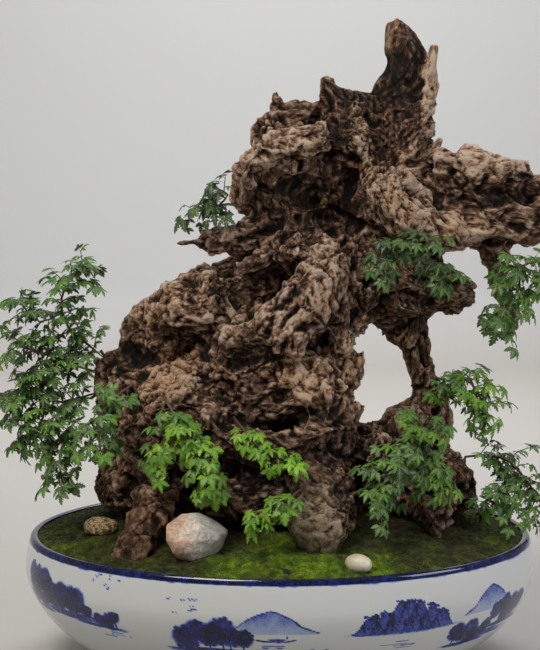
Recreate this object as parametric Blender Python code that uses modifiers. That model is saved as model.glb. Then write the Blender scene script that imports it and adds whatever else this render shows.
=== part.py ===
"""Chinese chastetree bonsai: a hollowed old stump in an oval porcelain pot of mossy soil.

Metres, +Z up. The origin is the middle of the pot's flat foot, +X runs along the oval's long axis, and
the tree's best side looks towards -Y.
"""

import math
import random

import bmesh
import bpy
import numpy as np
from mathutils import Matrix, Vector, noise
from mathutils.bvhtree import BVHTree

# Driving dimensions
POT_HALF_WIDTH = 0.3665
POT_DEPTH_SHARE = 0.735
RIM_HEIGHT = 0.182
RIM_HALF_WIDTH = 0.358
WALL = 0.010
FLOOR = 0.014
FOOT_HALF_WIDTH = 0.206
FOOT_HEIGHT = 0.008
BULGE_HEIGHT = 0.135
BELLY_CURVE = 1.6
FOOT_STEP = 0.006
FOOT_SHOULDER = 0.003
WALL_HEIGHTS = (0.024, 0.048, 0.084, BULGE_HEIGHT, 0.163)
LIP_DEPTH = 0.004
LIP_OUTER = 0.0022
LIP_INNER = 0.0075
FLOOR_INSET = 0.006
FOOT_BEVEL = 0.002
FOOT_BEVEL_HEIGHT = 0.0015
DRAIN_RADIUS = 0.011
DRAIN_OFFSET = 0.105
DRAIN_SIDES = 16
DRILL_LENGTH = 0.08
SHARP_DEGREES = 35
SCREEN_SIDE = 0.036
SCREEN_THICKNESS = 0.0015
SCREEN_BARS = 3
BAR_SHARE = 0.3
SOIL_BELOW_RIM = 0.006
MOUND_RISE = 0.034
HUMP_SCALE = 22.0
HUMP_SLICE = 0.3
HUMP_HEIGHT = 0.0045
HUMP_FADE = 6
EDGE_ROOM = 0.002
TOP_BAND = 0.0005
RECESS_OVERCUT = 0.002
ROOT_DEPTH = 0.030
GAP = 0.0004
SEAT_GAP = 0.0007
SEAT_TOP = 0.242

POT_SEGMENTS = 32
WELD = 1e-6
SOIL_RINGS = 5

TRUNK_TRIANGLES = 3700
TRUNK_VOXEL = 0.0045
BLOB_DETAIL = 3
LIMB_STEPS = 4
LIMB_SIDES = 12
LEAST_RADIUS = 0.0015
SOFTENINGS = 5
FOLD_HEIGHT = 0.0105
RIDGE_HEIGHT = 0.0050
GRAIN_STRETCH = 2.6
FOLD_SCALE = 19.0
FOLD_SHARPNESS = 2.6
RIDGE_SCALE = 40.0
RIDGE_SHARPNESS = 2.2
SWELL_SCALE = 8.0
SWELL_HEIGHT = 0.008
WARP_SCALE = 7.0
WARP_REACH = 0.028
RELIEF_SINK = 0.005
SPIRE_TOP = 0.84
SPIRE_FADE = 0.10
SPIRE_RELIEF = 0.25
BURIED_FADE_FOOT = 0.185
BURIED_FADE = 0.035
BURIED_RELIEF = 0.1
SAW_SNAP = 0.0015
SMOOTHINGS = 6
BURIED_HEIGHT = 0.210

STONE_DETAIL = 2
STONE_FLATS = 9
LOWEST_FLAT = -0.6
FLAT_BITE = 0.9
FLAT_REACH = 0.80
SMOOTH_STONE = 0.001
STONE_LUMP_SCALE = 2.2
STONE_LUMPS = 12
STONE_SUNK = 0.20

STEM_RADIUS = 0.0021
TWIG_RADIUS = 0.0015
STEM_RISE = 0.011
STEM_CLEARANCE = 0.009
KNOT_CLEARANCE = 0.0135
STEM_ROOM = 0.0008
STEM_TRIES = 8
FURTHER = 1.2
HOLD_ROUNDS = 3
STEM_STEPS = 2
STEM_SIDES = 4
FIRST_FORK = 3
SOCKET_DEPTH = 0.008
SOCKET_SIDES = 8
LEAF_LENGTH = 0.027
LEAF_THICKNESS = 0.0009
MOST_LEAF_THICKNESS = 0.00117
THICKER = 1.03
LEAF_CLEARANCE = 0.004
LEAF_SPACE = 0.0012
LEAF_SPACING = 0.078
FIRST_LEAF = 0.040
FIRST_TWIG_LEAF = 0.050
STALK_LENGTH = 0.0095
STALK_WIDTH = 0.0013
STALK_LIFT = 0.35
STALK_SUNK = 0.40
HUB_RISE = 0.0006
BLADE_FOOT = 1.2
BLADE_BACK = 0.0012
DROOP = 0.42
NOTCH = 0.14

# How a leaf is turned on its stem, at random within these
LEAF_TRIES = 14
WANDER = 0.20
WANDER_STEP = 0.05
FRONT_PULL = 0.25
OUTWARD_LEAN = (0.1, 0.9)
ALONG_LEAN = (0.4, 0.9)
SIDE_LEAN = 0.9
DOWN_LEAN = (0.15, 0.75)
SIZE_RANGE = (0.85, 1.15)
SIZE_STEP = 0.03
STALK_RANGE = (0.7, 1.2)
FIVE_SHARE = 0.4
TIP_ROOM = 0.012
TIP_BACK = 0.001

# How a point is tested against a solid
FAR_OFF = 0.04
TEST_RAY = (0.31, 0.17, 0.94)
RAY_STEP = 1e-5
MOST_CROSSINGS = 40

# Where each random field of the wood and the stones is read
WARP_SHIFTS = ((9.3, -1.5, -8.0), (0.0, 0.0, 0.0), (-5.9, 6.2, 8.1))
RIDGE_SHIFT = Vector((7.1, 3.3, 1.7))
SWELL_SHIFT = Vector((1.3, 9.2, 4.4))
STONE_SHIFT = Vector((0.0, 0.0, 3.0))

# The stump's rounded masses: name, centre, half sizes, tilt about Y in degrees
MASSES = [
    ("snout", (-0.200, 0.020, 0.392), (0.074, 0.078, 0.064), 0),
    ("snout_top", (-0.168, 0.015, 0.470), (0.062, 0.066, 0.046), 25),
    ("shoulder", (-0.108, 0.005, 0.503), (0.078, 0.078, 0.056), 18),
    ("heart", (-0.020, 0.010, 0.400), (0.120, 0.115, 0.130), 0),
    ("left_belly", (-0.130, -0.010, 0.335), (0.105, 0.110, 0.090), 0),
    ("left_base", (-0.180, 0.030, 0.255), (0.084, 0.095, 0.085), 0),
    ("left_foot", (-0.185, 0.060, 0.195), (0.082, 0.075, 0.060), 0),
    ("middle_base", (-0.030, 0.000, 0.250), (0.135, 0.130, 0.090), 0),
    ("middle_foot", (-0.010, 0.035, 0.190), (0.150, 0.115, 0.070), 0),
    ("right_base", (0.170, 0.030, 0.262), (0.092, 0.090, 0.070), 0),
    ("right_foot", (0.190, 0.050, 0.195), (0.086, 0.075, 0.060), 0),
    ("root_core", (0.040, -0.050, 0.160), (0.110, 0.105, 0.036), 0),
    ("collar", (-0.030, 0.015, 0.545), (0.052, 0.062, 0.050), 0),
    ("right_knee", (0.190, 0.000, 0.343), (0.040, 0.045, 0.034), 0),
    ("saddle", (0.120, 0.000, 0.300), (0.075, 0.075, 0.036), 0),
    ("right_heel", (0.240, 0.020, 0.240), (0.044, 0.060, 0.055), 0),
    ("spine_foot", (0.055, -0.010, 0.320), (0.052, 0.085, 0.060), 0),
    ("spine", (0.060, -0.020, 0.420), (0.046, 0.080, 0.075), 5),
    ("spine_knob", (0.100, -0.055, 0.425), (0.021, 0.026, 0.030), 0),
    ("spine_top", (0.070, -0.010, 0.515), (0.062, 0.080, 0.065), 0),
    ("burl", (0.043, -0.092, 0.392), (0.046, 0.030, 0.046), 0),
    ("neck", (0.030, 0.010, 0.590), (0.088, 0.082, 0.062), 0),
    ("crown", (0.022, 0.012, 0.672), (0.086, 0.080, 0.062), 0),
    ("crown_left", (0.015, 0.010, 0.738), (0.052, 0.062, 0.036), -18),
    ("crown_right", (0.095, 0.010, 0.740), (0.046, 0.060, 0.052), 0),
    ("spire_root", (0.170, 0.010, 0.725), (0.050, 0.056, 0.060), 0),
    ("arm_root", (0.165, 0.005, 0.650), (0.080, 0.080, 0.066), 0),
    ("arm", (0.262, 0.000, 0.648), (0.076, 0.070, 0.062), 8),
    ("arm_end", (0.350, 0.005, 0.640), (0.060, 0.056, 0.044), 10),
    ("armpit", (0.120, 0.010, 0.560), (0.062, 0.066, 0.055), 0),
    ("under_arm", (0.180, 0.010, 0.540), (0.062, 0.062, 0.062), 0),
    ("under_knob", (0.250, 0.000, 0.524), (0.030, 0.032, 0.028), 0),
    ("face_knob", (-0.150, -0.085, 0.385), (0.045, 0.032, 0.036), 30),
]

# The stump's limbs, roots, horns and spikes: name, then x, y, z and radius of each point
LIMBS = [
    ("spire", [(0.170, 0.010, 0.720, 0.054), (0.166, 0.010, 0.775, 0.047), (0.176, 0.008, 0.822, 0.034),
               (0.177, 0.006, 0.860, 0.029), (0.168, 0.005, 0.888, 0.020), (0.161, 0.005, 0.912, 0.007)]),
    ("sliver", [(0.205, -0.012, 0.762, 0.016), (0.209, -0.012, 0.812, 0.010),
                (0.214, -0.010, 0.862, 0.004)]),
    ("horn", [(-0.006, 0.000, 0.760, 0.018), (-0.004, -0.004, 0.786, 0.010),
              (-0.002, -0.004, 0.804, 0.004)]),
    ("stub_left", [(0.080, -0.010, 0.765, 0.020), (0.072, -0.014, 0.818, 0.010)]),
    ("stub_right", [(0.098, -0.012, 0.765, 0.018), (0.090, -0.014, 0.806, 0.009)]),
    ("crest", [(-0.024, 0.004, 0.748, 0.016), (0.020, 0.002, 0.772, 0.020), (0.068, 0.000, 0.782, 0.020),
               (0.110, 0.004, 0.786, 0.022), (0.140, 0.008, 0.780, 0.026)]),
    ("brow", [(-0.058, -0.052, 0.690, 0.020), (-0.020, -0.074, 0.722, 0.020), (0.024, -0.078, 0.735, 0.019),
              (0.066, -0.066, 0.748, 0.018)]),
    ("ledge", [(0.215, -0.052, 0.712, 0.020), (0.280, -0.060, 0.702, 0.021), (0.345, -0.040, 0.684, 0.018)]),
    ("arm_lip", [(0.150, -0.070, 0.690, 0.026), (0.150, -0.086, 0.655, 0.030), (0.185, -0.078, 0.622, 0.026),
                 (0.250, -0.064, 0.604, 0.018)]),
    ("spike", [(-0.030, -0.030, 0.604, 0.028), (-0.075, -0.040, 0.607, 0.018),
               (-0.112, -0.044, 0.600, 0.010),
               (-0.147, -0.048, 0.591, 0.0022)]),
    ("strut", [(0.168, 0.020, 0.505, 0.042), (0.187, 0.012, 0.455, 0.026), (0.208, 0.006, 0.405, 0.019),
               (0.218, 0.004, 0.365, 0.025), (0.214, 0.006, 0.320, 0.034)]),
    ("rod", [(0.296, 0.010, 0.610, 0.028), (0.308, 0.012, 0.560, 0.019), (0.326, 0.014, 0.510, 0.015),
             (0.341, 0.016, 0.468, 0.009)]),
    ("front_foot", [(0.045, -0.080, 0.300, 0.050), (0.052, -0.140, 0.240, 0.040),
                    (0.053, -0.164, 0.195, 0.038),
                    (0.052, -0.166, 0.150, 0.037)]),
    ("left_root", [(-0.160, -0.060, 0.290, 0.042), (-0.172, -0.115, 0.240, 0.029),
                   (-0.182, -0.152, 0.200, 0.026),
                   (-0.186, -0.160, 0.150, 0.028)]),
    ("right_root", [(0.200, -0.030, 0.270, 0.045), (0.215, -0.070, 0.225, 0.032),
                    (0.225, -0.090, 0.180, 0.026),
                    (0.230, -0.095, 0.150, 0.022)]),
    ("back_root", [(0.020, 0.060, 0.280, 0.055), (0.030, 0.110, 0.225, 0.036), (0.034, 0.130, 0.180, 0.030),
                   (0.036, 0.135, 0.150, 0.026)]),
    ("back_left_root", [(-0.160, 0.050, 0.270, 0.050), (-0.180, 0.090, 0.215, 0.032),
                        (-0.190, 0.105, 0.150, 0.026)]),
    ("twist", [(-0.075, -0.100, 0.455, 0.022), (-0.020, -0.108, 0.470, 0.020), (0.040, -0.100, 0.500, 0.022),
               (0.060, -0.086, 0.548, 0.024), (0.070, -0.078, 0.592, 0.020)]),
    ("cord", [(0.095, -0.060, 0.370, 0.022), (0.050, -0.118, 0.345, 0.018), (-0.010, -0.126, 0.325, 0.020),
              (-0.070, -0.118, 0.335, 0.022), (-0.110, -0.110, 0.360, 0.020)]),
    ("back_rib", [(-0.120, 0.080, 0.330, 0.030), (-0.040, 0.108, 0.400, 0.028), (0.020, 0.096, 0.500, 0.026),
                  (0.050, 0.078, 0.600, 0.024), (0.110, 0.070, 0.680, 0.020)]),
]

# The flow of the wood: centre, reach and direction of each region
GRAIN = [
    ((0.170, 0.0, 0.850), 0.10, (0.05, 0.0, 1.0)),
    ((0.270, 0.0, 0.660), 0.13, (1.0, 0.0, -0.12)),
    ((0.030, 0.0, 0.700), 0.12, (0.55, 0.0, 0.55)),
    ((0.020, 0.0, 0.530), 0.14, (0.45, 0.0, 0.85)),
    ((-0.110, 0.0, 0.480), 0.13, (0.90, 0.0, 0.30)),
    ((-0.190, 0.0, 0.350), 0.14, (0.60, 0.0, 0.70)),
    ((-0.040, 0.0, 0.320), 0.15, (0.95, 0.0, -0.20)),
    ((0.190, 0.0, 0.350), 0.12, (0.10, 0.0, 1.0)),
    ((0.000, 0.0, 0.180), 0.12, (0.0, -0.2, 1.0)),
    ((0.200, 0.0, 0.200), 0.12, (0.2, -0.2, 1.0)),
    ((-0.200, 0.0, 0.200), 0.12, (-0.2, -0.2, 1.0)),
]

# Rotted hollows cut into the stump: name, centre, half sizes, tilt about Y in degrees
HOLLOWS = [
    ("crown_hollow", (0.034, -0.095, 0.672), (0.062, 0.052, 0.040), -15),
    ("throat", (0.020, -0.105, 0.625), (0.050, 0.046, 0.030), 10),
    ("shoulder_hole", (-0.075, -0.075, 0.517), (0.026, 0.045, 0.017), 20),
    ("shoulder_groove", (-0.130, -0.075, 0.440), (0.045, 0.030, 0.014), 12),
    ("arm_cave", (0.262, -0.070, 0.652), (0.050, 0.046, 0.017), 4),
    ("snout_split", (-0.235, -0.060, 0.400), (0.050, 0.040, 0.009), 6),
    ("heart_cave", (-0.072, -0.118, 0.388), (0.034, 0.040, 0.026), 20),
    ("burl_shadow", (-0.005, -0.122, 0.372), (0.022, 0.036, 0.040), -20),
    ("belly_cave", (0.040, -0.140, 0.310), (0.040, 0.040, 0.014), 0),
    ("left_recess", (-0.050, -0.130, 0.205), (0.052, 0.060, 0.042), 0),
    ("far_left_recess", (-0.248, -0.055, 0.205), (0.052, 0.075, 0.047), 0),
    ("right_recess", (0.135, -0.105, 0.215), (0.036, 0.070, 0.040), 0),
    ("armpit_cave", (0.190, -0.070, 0.545), (0.050, 0.040, 0.034), -10),
    ("neck_cleft", (-0.052, -0.040, 0.560), (0.040, 0.060, 0.010), 12),
    ("back_hollow", (0.010, 0.110, 0.450), (0.040, 0.036, 0.060), 12),
    ("back_crown_hollow", (0.080, 0.095, 0.690), (0.040, 0.040, 0.030), 0),
]

# Stones on the moss: name, place, half sizes, turn about Z in degrees, roughness of the surface
STONES = [
    ("quartz_rock", (-0.112, -0.180), (0.046, 0.030, 0.034), 12, 0.0055),
    ("speckled_stone", (-0.252, -0.070), (0.027, 0.020, 0.015), -8, 0.0022),
    ("white_pebble", (0.100, -0.222), (0.0195, 0.014, 0.013), -30, 0.0004),
]

# Leafy shoots: name, then each stem's points, the first of the main stem being where it leaves the wood
SHOOTS = [
    ("left_upper_shoot", [[(-0.256, -0.010, 0.444), (-0.286, -0.020, 0.460), (-0.307, -0.030, 0.500),
                           (-0.301, -0.030, 0.538), (-0.276, -0.025, 0.562)],
                          [(-0.336, -0.045, 0.488), (-0.365, -0.050, 0.519)]]),
    ("left_outer_shoot", [[(-0.265, -0.010, 0.413), (-0.302, -0.030, 0.430), (-0.335, -0.050, 0.446),
                           (-0.368, -0.060, 0.457)],
                          [(-0.327, -0.060, 0.408), (-0.347, -0.070, 0.396)]]),
    ("left_low_shoot", [[(-0.268, -0.020, 0.377), (-0.307, -0.040, 0.374), (-0.347, -0.055, 0.382),
                         (-0.387, -0.065, 0.370)],
                        [(-0.331, -0.070, 0.351), (-0.349, -0.080, 0.324)]]),
    ("left_hanging_shoot", [[(-0.258, -0.040, 0.341), (-0.288, -0.060, 0.335), (-0.305, -0.080, 0.306),
                             (-0.302, -0.085, 0.269)]]),
    ("cheek_shoot", [[(-0.216, -0.100, 0.397), (-0.227, -0.130, 0.391), (-0.243, -0.150, 0.367),
                      (-0.240, -0.155, 0.328)]]),
    ("front_left_shoot", [[(-0.156, -0.120, 0.392), (-0.141, -0.150, 0.374), (-0.120, -0.165, 0.343),
                           (-0.100, -0.170, 0.307), (-0.091, -0.170, 0.277)],
                          [(-0.156, -0.160, 0.342), (-0.171, -0.165, 0.314)]]),
    ("front_middle_shoot", [[(-0.058, -0.120, 0.351), (-0.038, -0.165, 0.343), (-0.012, -0.175, 0.324),
                             (0.015, -0.175, 0.316)]]),
    ("low_front_shoot", [[(0.029, -0.170, 0.277), (0.012, -0.200, 0.273), (-0.012, -0.205, 0.255),
                          (-0.030, -0.205, 0.240)]]),
    ("spike_shoot", [[(-0.052, -0.030, 0.650), (-0.072, -0.050, 0.652), (-0.099, -0.060, 0.647),
                      (-0.127, -0.065, 0.637)],
                     [(-0.072, -0.060, 0.665), (-0.088, -0.065, 0.674)]]),
    ("arm_front_shoot", [[(0.204, -0.112, 0.618), (0.202, -0.134, 0.606), (0.178, -0.140, 0.606),
                          (0.144, -0.140, 0.593), (0.125, -0.140, 0.573)],
                         [(0.198, -0.130, 0.577), (0.217, -0.130, 0.553)]]),
    ("arm_end_shoot", [[(0.314, -0.030, 0.597), (0.319, -0.060, 0.578), (0.329, -0.070, 0.548),
                        (0.318, -0.075, 0.514), (0.299, -0.075, 0.487)],
                       [(0.352, -0.080, 0.574), (0.368, -0.085, 0.547)]]),
    ("knee_shoot", [[(0.215, -0.030, 0.382), (0.231, -0.060, 0.397), (0.250, -0.080, 0.414),
                     (0.271, -0.090, 0.396), (0.285, -0.095, 0.358)]]),
    ("right_front_shoot", [[(0.206, -0.090, 0.343), (0.185, -0.130, 0.342), (0.159, -0.150, 0.324),
                            (0.143, -0.155, 0.290), (0.127, -0.155, 0.256)],
                           [(0.197, -0.150, 0.303), (0.220, -0.150, 0.273)]]),
    ("right_far_shoot", [[(0.271, -0.020, 0.294), (0.296, -0.030, 0.296), (0.325, -0.040, 0.288),
                          (0.353, -0.045, 0.256), (0.374, -0.050, 0.221)],
                         [(0.314, -0.050, 0.250), (0.295, -0.060, 0.227)]]),
    ("back_left_shoot", [[(-0.120, 0.100, 0.380), (-0.140, 0.130, 0.400), (-0.180, 0.150, 0.400),
                          (-0.205, 0.155, 0.370)]]),
    ("back_right_shoot", [[(0.130, 0.080, 0.560), (0.140, 0.115, 0.550), (0.160, 0.135, 0.520),
                           (0.185, 0.140, 0.490)]]),
]


# Leaflet outlines from the lower side over the tip: share of the length, then of the half width
LEAFLETS = {
    "lobed": [(0.42, 1.0), (0.60, 0.45), (1.0, 0.0), (0.68, -0.45), (0.52, -1.0)],
    "plain": [(0.50, 1.0), (1.0, 0.0), (0.60, -0.95)],
    "slim": [(0.58, 1.0), (1.0, -0.10)],
    "mirrored": [(1.0, 0.10), (0.58, -1.0)],
    "point": [(1.0, 0.0)],
}

# The leaflets of a blade: angle in degrees, share of the length, half width and outline
BLADES = {
    "five": [(-106, 0.60, 0.17, "point"), (-50, 0.90, 0.20, "mirrored"), (0, 1.0, 0.17, "plain"),
             (50, 0.90, 0.20, "slim"), (106, 0.60, 0.17, "point")],
    "three": [(-60, 0.88, 0.23, "mirrored"), (0, 1.0, 0.21, "lobed"), (60, 0.88, 0.23, "slim")],
}


# The scene and its two collections
for old in list(bpy.data.objects):
    bpy.data.objects.remove(old, do_unlink=True)

parts = bpy.data.collections.new("chastetree_bonsai")
cutters = bpy.data.collections.new("bonsai_cutters")
bpy.context.scene.collection.children.link(parts)
bpy.context.scene.collection.children.link(cutters)


def material(name, colour, roughness):
    """A Principled material of one linear colour."""
    made = bpy.data.materials.new(name)
    made.use_nodes = True
    shader = made.node_tree.nodes["Principled BSDF"]
    shader.inputs["Base Color"].default_value = (*colour, 1.0)
    shader.inputs["Roughness"].default_value = roughness
    shader.inputs["Metallic"].default_value = 0.0
    return made


PORCELAIN = material("glazed_porcelain", (0.80, 0.82, 0.83), 0.12)
MOSSY_SOIL = material("mossy_soil", (0.045, 0.075, 0.012), 0.95)
DEADWOOD = material("weathered_wood", (0.13, 0.075, 0.045), 0.85)
FOLIAGE = material("leaf_green", (0.075, 0.190, 0.030), 0.55)
QUARTZ = material("quartz", (0.55, 0.46, 0.38), 0.6)
SPECKLED = material("speckled_stone", (0.30, 0.22, 0.13), 0.8)
PEBBLE = material("pebble", (0.75, 0.72, 0.60), 0.45)
MESH_PLASTIC = material("mesh_plastic", (0.02, 0.02, 0.02), 0.6)


def add(name, mesh, collection, finish=None):
    """A new object of this mesh at the origin."""
    made = bpy.data.objects.new(name, mesh)
    collection.objects.link(made)
    if finish:
        made.data.materials.append(finish)
    if collection is cutters:
        made.hide_render = True
        made.display_type = "WIRE"
    return made


def baked(obj):
    """The object with its modifiers applied to its own mesh."""
    graph = bpy.context.evaluated_depsgraph_get()
    mesh = bpy.data.meshes.new_from_object(obj.evaluated_get(graph))
    obj.modifiers.clear()
    obj.data = mesh
    return obj


def tree_of(mesh):
    """A search tree of a mesh's faces, in world space, since every object sits at the origin."""
    return BVHTree.FromPolygons([v.co for v in mesh.vertices], [p.vertices for p in mesh.polygons])


def tube_mesh(points, radii, sides):
    """A closed tube through points, as a POLY curve with filled caps, welded into a mesh."""
    curve = bpy.data.curves.new("tube", "CURVE")
    curve.dimensions = "3D"
    curve.bevel_depth = 1.0
    curve.bevel_resolution = sides // 2 - 2
    curve.use_fill_caps = True
    spline = curve.splines.new("POLY")
    spline.points.add(len(points) - 1)
    for spot, place, radius in zip(spline.points, points, radii):
        spot.co = (*place, 1.0)
        spot.radius = radius
    holder = bpy.data.objects.new("tube", curve)
    bpy.context.scene.collection.objects.link(holder)
    graph = bpy.context.evaluated_depsgraph_get()
    mesh = bpy.data.meshes.new_from_object(holder.evaluated_get(graph))
    bpy.data.objects.remove(holder)
    shape = bmesh.new()
    shape.from_mesh(mesh)
    bmesh.ops.remove_doubles(shape, verts=shape.verts, dist=WELD)
    bmesh.ops.recalc_face_normals(shape, faces=shape.faces)
    shape.to_mesh(mesh)
    shape.free()
    return mesh


def smooth_path(points, steps):
    """Catmull-Rom points through the given ones, each with its radius or other last value."""
    knots = [np.array(p, float) for p in points]
    knots = [2 * knots[0] - knots[1], *knots, 2 * knots[-1] - knots[-2]]
    path = []
    for a, b, c, d in zip(knots, knots[1:], knots[2:], knots[3:]):
        for step in range(steps):
            t = step / steps
            path.append(0.5 * (2 * b + (c - a) * t + (2 * a - 5 * b + 4 * c - d) * t**2
                               + (3 * b - a - 3 * c + d) * t**3))
    path.append(knots[-2])
    return path


# The pot and its drain screens
def wall_half_width(height):
    """The pot's outer half width at a height: a drum belly, drawn in to the rim and to the foot."""
    if height >= BULGE_HEIGHT:
        share = (height - BULGE_HEIGHT) / (RIM_HEIGHT - BULGE_HEIGHT)
        return POT_HALF_WIDTH - (POT_HALF_WIDTH - RIM_HALF_WIDTH) * share**2
    share = (BULGE_HEIGHT - height) / (BULGE_HEIGHT - FOOT_HEIGHT)
    belly = POT_HALF_WIDTH - FOOT_HALF_WIDTH - FOOT_STEP
    return FOOT_HALF_WIDTH + FOOT_STEP + belly * math.sqrt(max(0.0, 1 - share**BELLY_CURVE))


def turned(name, profile, segments, collection, finish):
    """A solid of revolution, squeezed along Y into an oval."""
    mesh = bpy.data.meshes.new(name)
    mesh.from_pydata([(r, 0, z) for r, z in profile], [(i, i + 1) for i in range(len(profile) - 1)], [])
    obj = add(name, mesh, collection, finish)
    screw = obj.modifiers.new("turn", "SCREW")
    screw.steps = screw.render_steps = segments
    screw.use_merge_vertices = True
    screw.merge_threshold = 0.0001
    baked(obj)
    obj.data.transform(Matrix.Diagonal((1, POT_DEPTH_SHARE, 1, 1)))
    return obj


def pot_profile():
    """From the middle of the inside, up the inner wall, over the lip, and down the outer wall."""
    heights = [FOOT_HEIGHT + FOOT_SHOULDER, *WALL_HEIGHTS, RIM_HEIGHT - LIP_DEPTH]
    outer = [(wall_half_width(z), z) for z in heights]
    inner = [(wall_half_width(z) - WALL, z) for z in heights if z > FOOT_HEIGHT + FLOOR]
    lip = [(RIM_HALF_WIDTH - LIP_OUTER, RIM_HEIGHT), (RIM_HALF_WIDTH - LIP_INNER, RIM_HEIGHT)]
    floor_height = FOOT_HEIGHT + FLOOR
    floor_edge = (wall_half_width(floor_height) - WALL - FLOOR_INSET, floor_height)
    foot = [(FOOT_HALF_WIDTH, FOOT_HEIGHT), (FOOT_HALF_WIDTH, FOOT_BEVEL_HEIGHT),
            (FOOT_HALF_WIDTH - FOOT_BEVEL, 0.0), (0, 0)]
    return [(0, floor_height), floor_edge, *inner, *reversed(lip), *reversed(outer), *foot]


def make_pot():
    pot = turned("pot", pot_profile(), POT_SEGMENTS, parts, PORCELAIN)
    for side in (-1, 1):
        hole = bmesh.new()
        middle = Matrix.Translation((side * DRAIN_OFFSET, 0, 0))
        bmesh.ops.create_cone(hole, cap_ends=True, segments=DRAIN_SIDES, radius1=DRAIN_RADIUS,
                              radius2=DRAIN_RADIUS, depth=DRILL_LENGTH, matrix=middle)
        mesh = bpy.data.meshes.new("drain")
        hole.to_mesh(mesh)
        hole.free()
        drill = add("drain", mesh, cutters)
        cut = pot.modifiers.new("drain", "BOOLEAN")
        cut.object = drill
    baked(pot)
    pot.data.shade_smooth()
    pot.data.set_sharp_from_angle(angle=math.radians(SHARP_DEGREES))
    return pot


def make_screen(name, side):
    """A plastic mesh over a drain hole: a square plate with rows of square holes."""
    pitch = SCREEN_SIDE / (SCREEN_BARS + BAR_SHARE)
    strips = 2 * SCREEN_BARS + 1
    shape = bmesh.new()
    bmesh.ops.create_grid(shape, x_segments=strips, y_segments=strips, size=0.5)
    edges = [pitch * (i // 2 + (BAR_SHARE if i % 2 else 0.0)) - SCREEN_SIDE / 2 for i in range(strips + 1)]
    step = 1 / strips
    for vert in shape.verts:
        column, row = (round((c + 0.5) / step) for c in vert.co.xy)
        vert.co.xy = edges[column], edges[row]
    squares = [f for f in shape.faces if min(e.calc_length() for e in f.edges) > 0.5 * pitch]
    bmesh.ops.delete(shape, geom=squares, context="FACES")
    mesh = bpy.data.meshes.new(name)
    shape.to_mesh(mesh)
    shape.free()
    obj = add(name, mesh, parts, MESH_PLASTIC)
    plate = obj.modifiers.new("plate", "SOLIDIFY")
    plate.thickness = SCREEN_THICKNESS
    plate.offset = 1
    obj.location = (side * DRAIN_OFFSET, 0, FOOT_HEIGHT + FLOOR + GAP)
    baked(obj)
    obj.data.transform(Matrix.Translation(obj.location))
    obj.location = (0, 0, 0)
    return obj


# The stump
def blob(shape, centre, sizes, tilt):
    """An ellipsoid added to a bmesh."""
    place = Matrix.LocRotScale(Vector(centre), Matrix.Rotation(math.radians(-tilt), 3, "Y"), Vector(sizes))
    bmesh.ops.create_icosphere(shape, subdivisions=BLOB_DETAIL, radius=1, matrix=place)


def largest_piece(obj):
    """The mesh with every loose scrap but the largest body removed. Faces belong together across edges."""
    shape = bmesh.new()
    shape.from_mesh(obj.data)
    seen = set()
    groups = []
    for first in shape.faces:
        if first in seen:
            continue
        seen.add(first)
        group, todo = [], [first]
        while todo:
            face = todo.pop()
            group.append(face)
            near = [f for e in face.edges if len(e.link_faces) == 2 for f in e.link_faces if f not in seen]
            seen.update(near)
            todo += dict.fromkeys(near)
        groups.append(group)
    groups.sort(key=len)
    scraps = [face for group in groups[:-1] for face in group]
    bmesh.ops.delete(shape, geom=scraps, context="FACES")
    shape.to_mesh(obj.data)
    shape.free()


def remeshed(obj, voxel):
    """The object's shells fused into one even surface."""
    fuse = obj.modifiers.new("fuse", "REMESH")
    fuse.mode = "VOXEL"
    fuse.voxel_size = voxel
    baked(obj)
    largest_piece(obj)
    return obj


def grain_at(place):
    """The direction in which the wood flows at a point: a blend of the flows of the stump's regions."""
    flow = Vector((0, 0, 0))
    for centre, reach, heading in GRAIN:
        flow += Vector(heading) * math.exp(-(place - Vector(centre)).length_squared / reach**2)
    return flow.normalized()


def wood_relief(place):
    """How far the wood stands out at a point: broken ridges along the grain, with rotted pits between."""
    grain = grain_at(place)
    shifts = [Vector(shift) for shift in WARP_SHIFTS]
    warp = Vector([noise.noise(place * WARP_SCALE + shift) for shift in shifts]) * WARP_REACH
    along = grain * place.dot(grain) * (1 - 1 / GRAIN_STRETCH)
    spot = place - along + warp
    folds = 1 - abs(noise.noise(spot * FOLD_SCALE)) * FOLD_SHARPNESS
    ridges = 1 - abs(noise.noise(spot * RIDGE_SCALE + RIDGE_SHIFT)) * RIDGE_SHARPNESS
    swell = noise.noise(place * SWELL_SCALE + SWELL_SHIFT)
    height = FOLD_HEIGHT * folds + RIDGE_HEIGHT * ridges + SWELL_HEIGHT * swell - RELIEF_SINK
    thin_spire = min(1.0, max(SPIRE_RELIEF, (SPIRE_TOP - place.z) / SPIRE_FADE))
    buried = min(1.0, max(BURIED_RELIEF, (place.z - BURIED_FADE_FOOT) / BURIED_FADE))
    return height * thin_spire * buried


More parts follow.
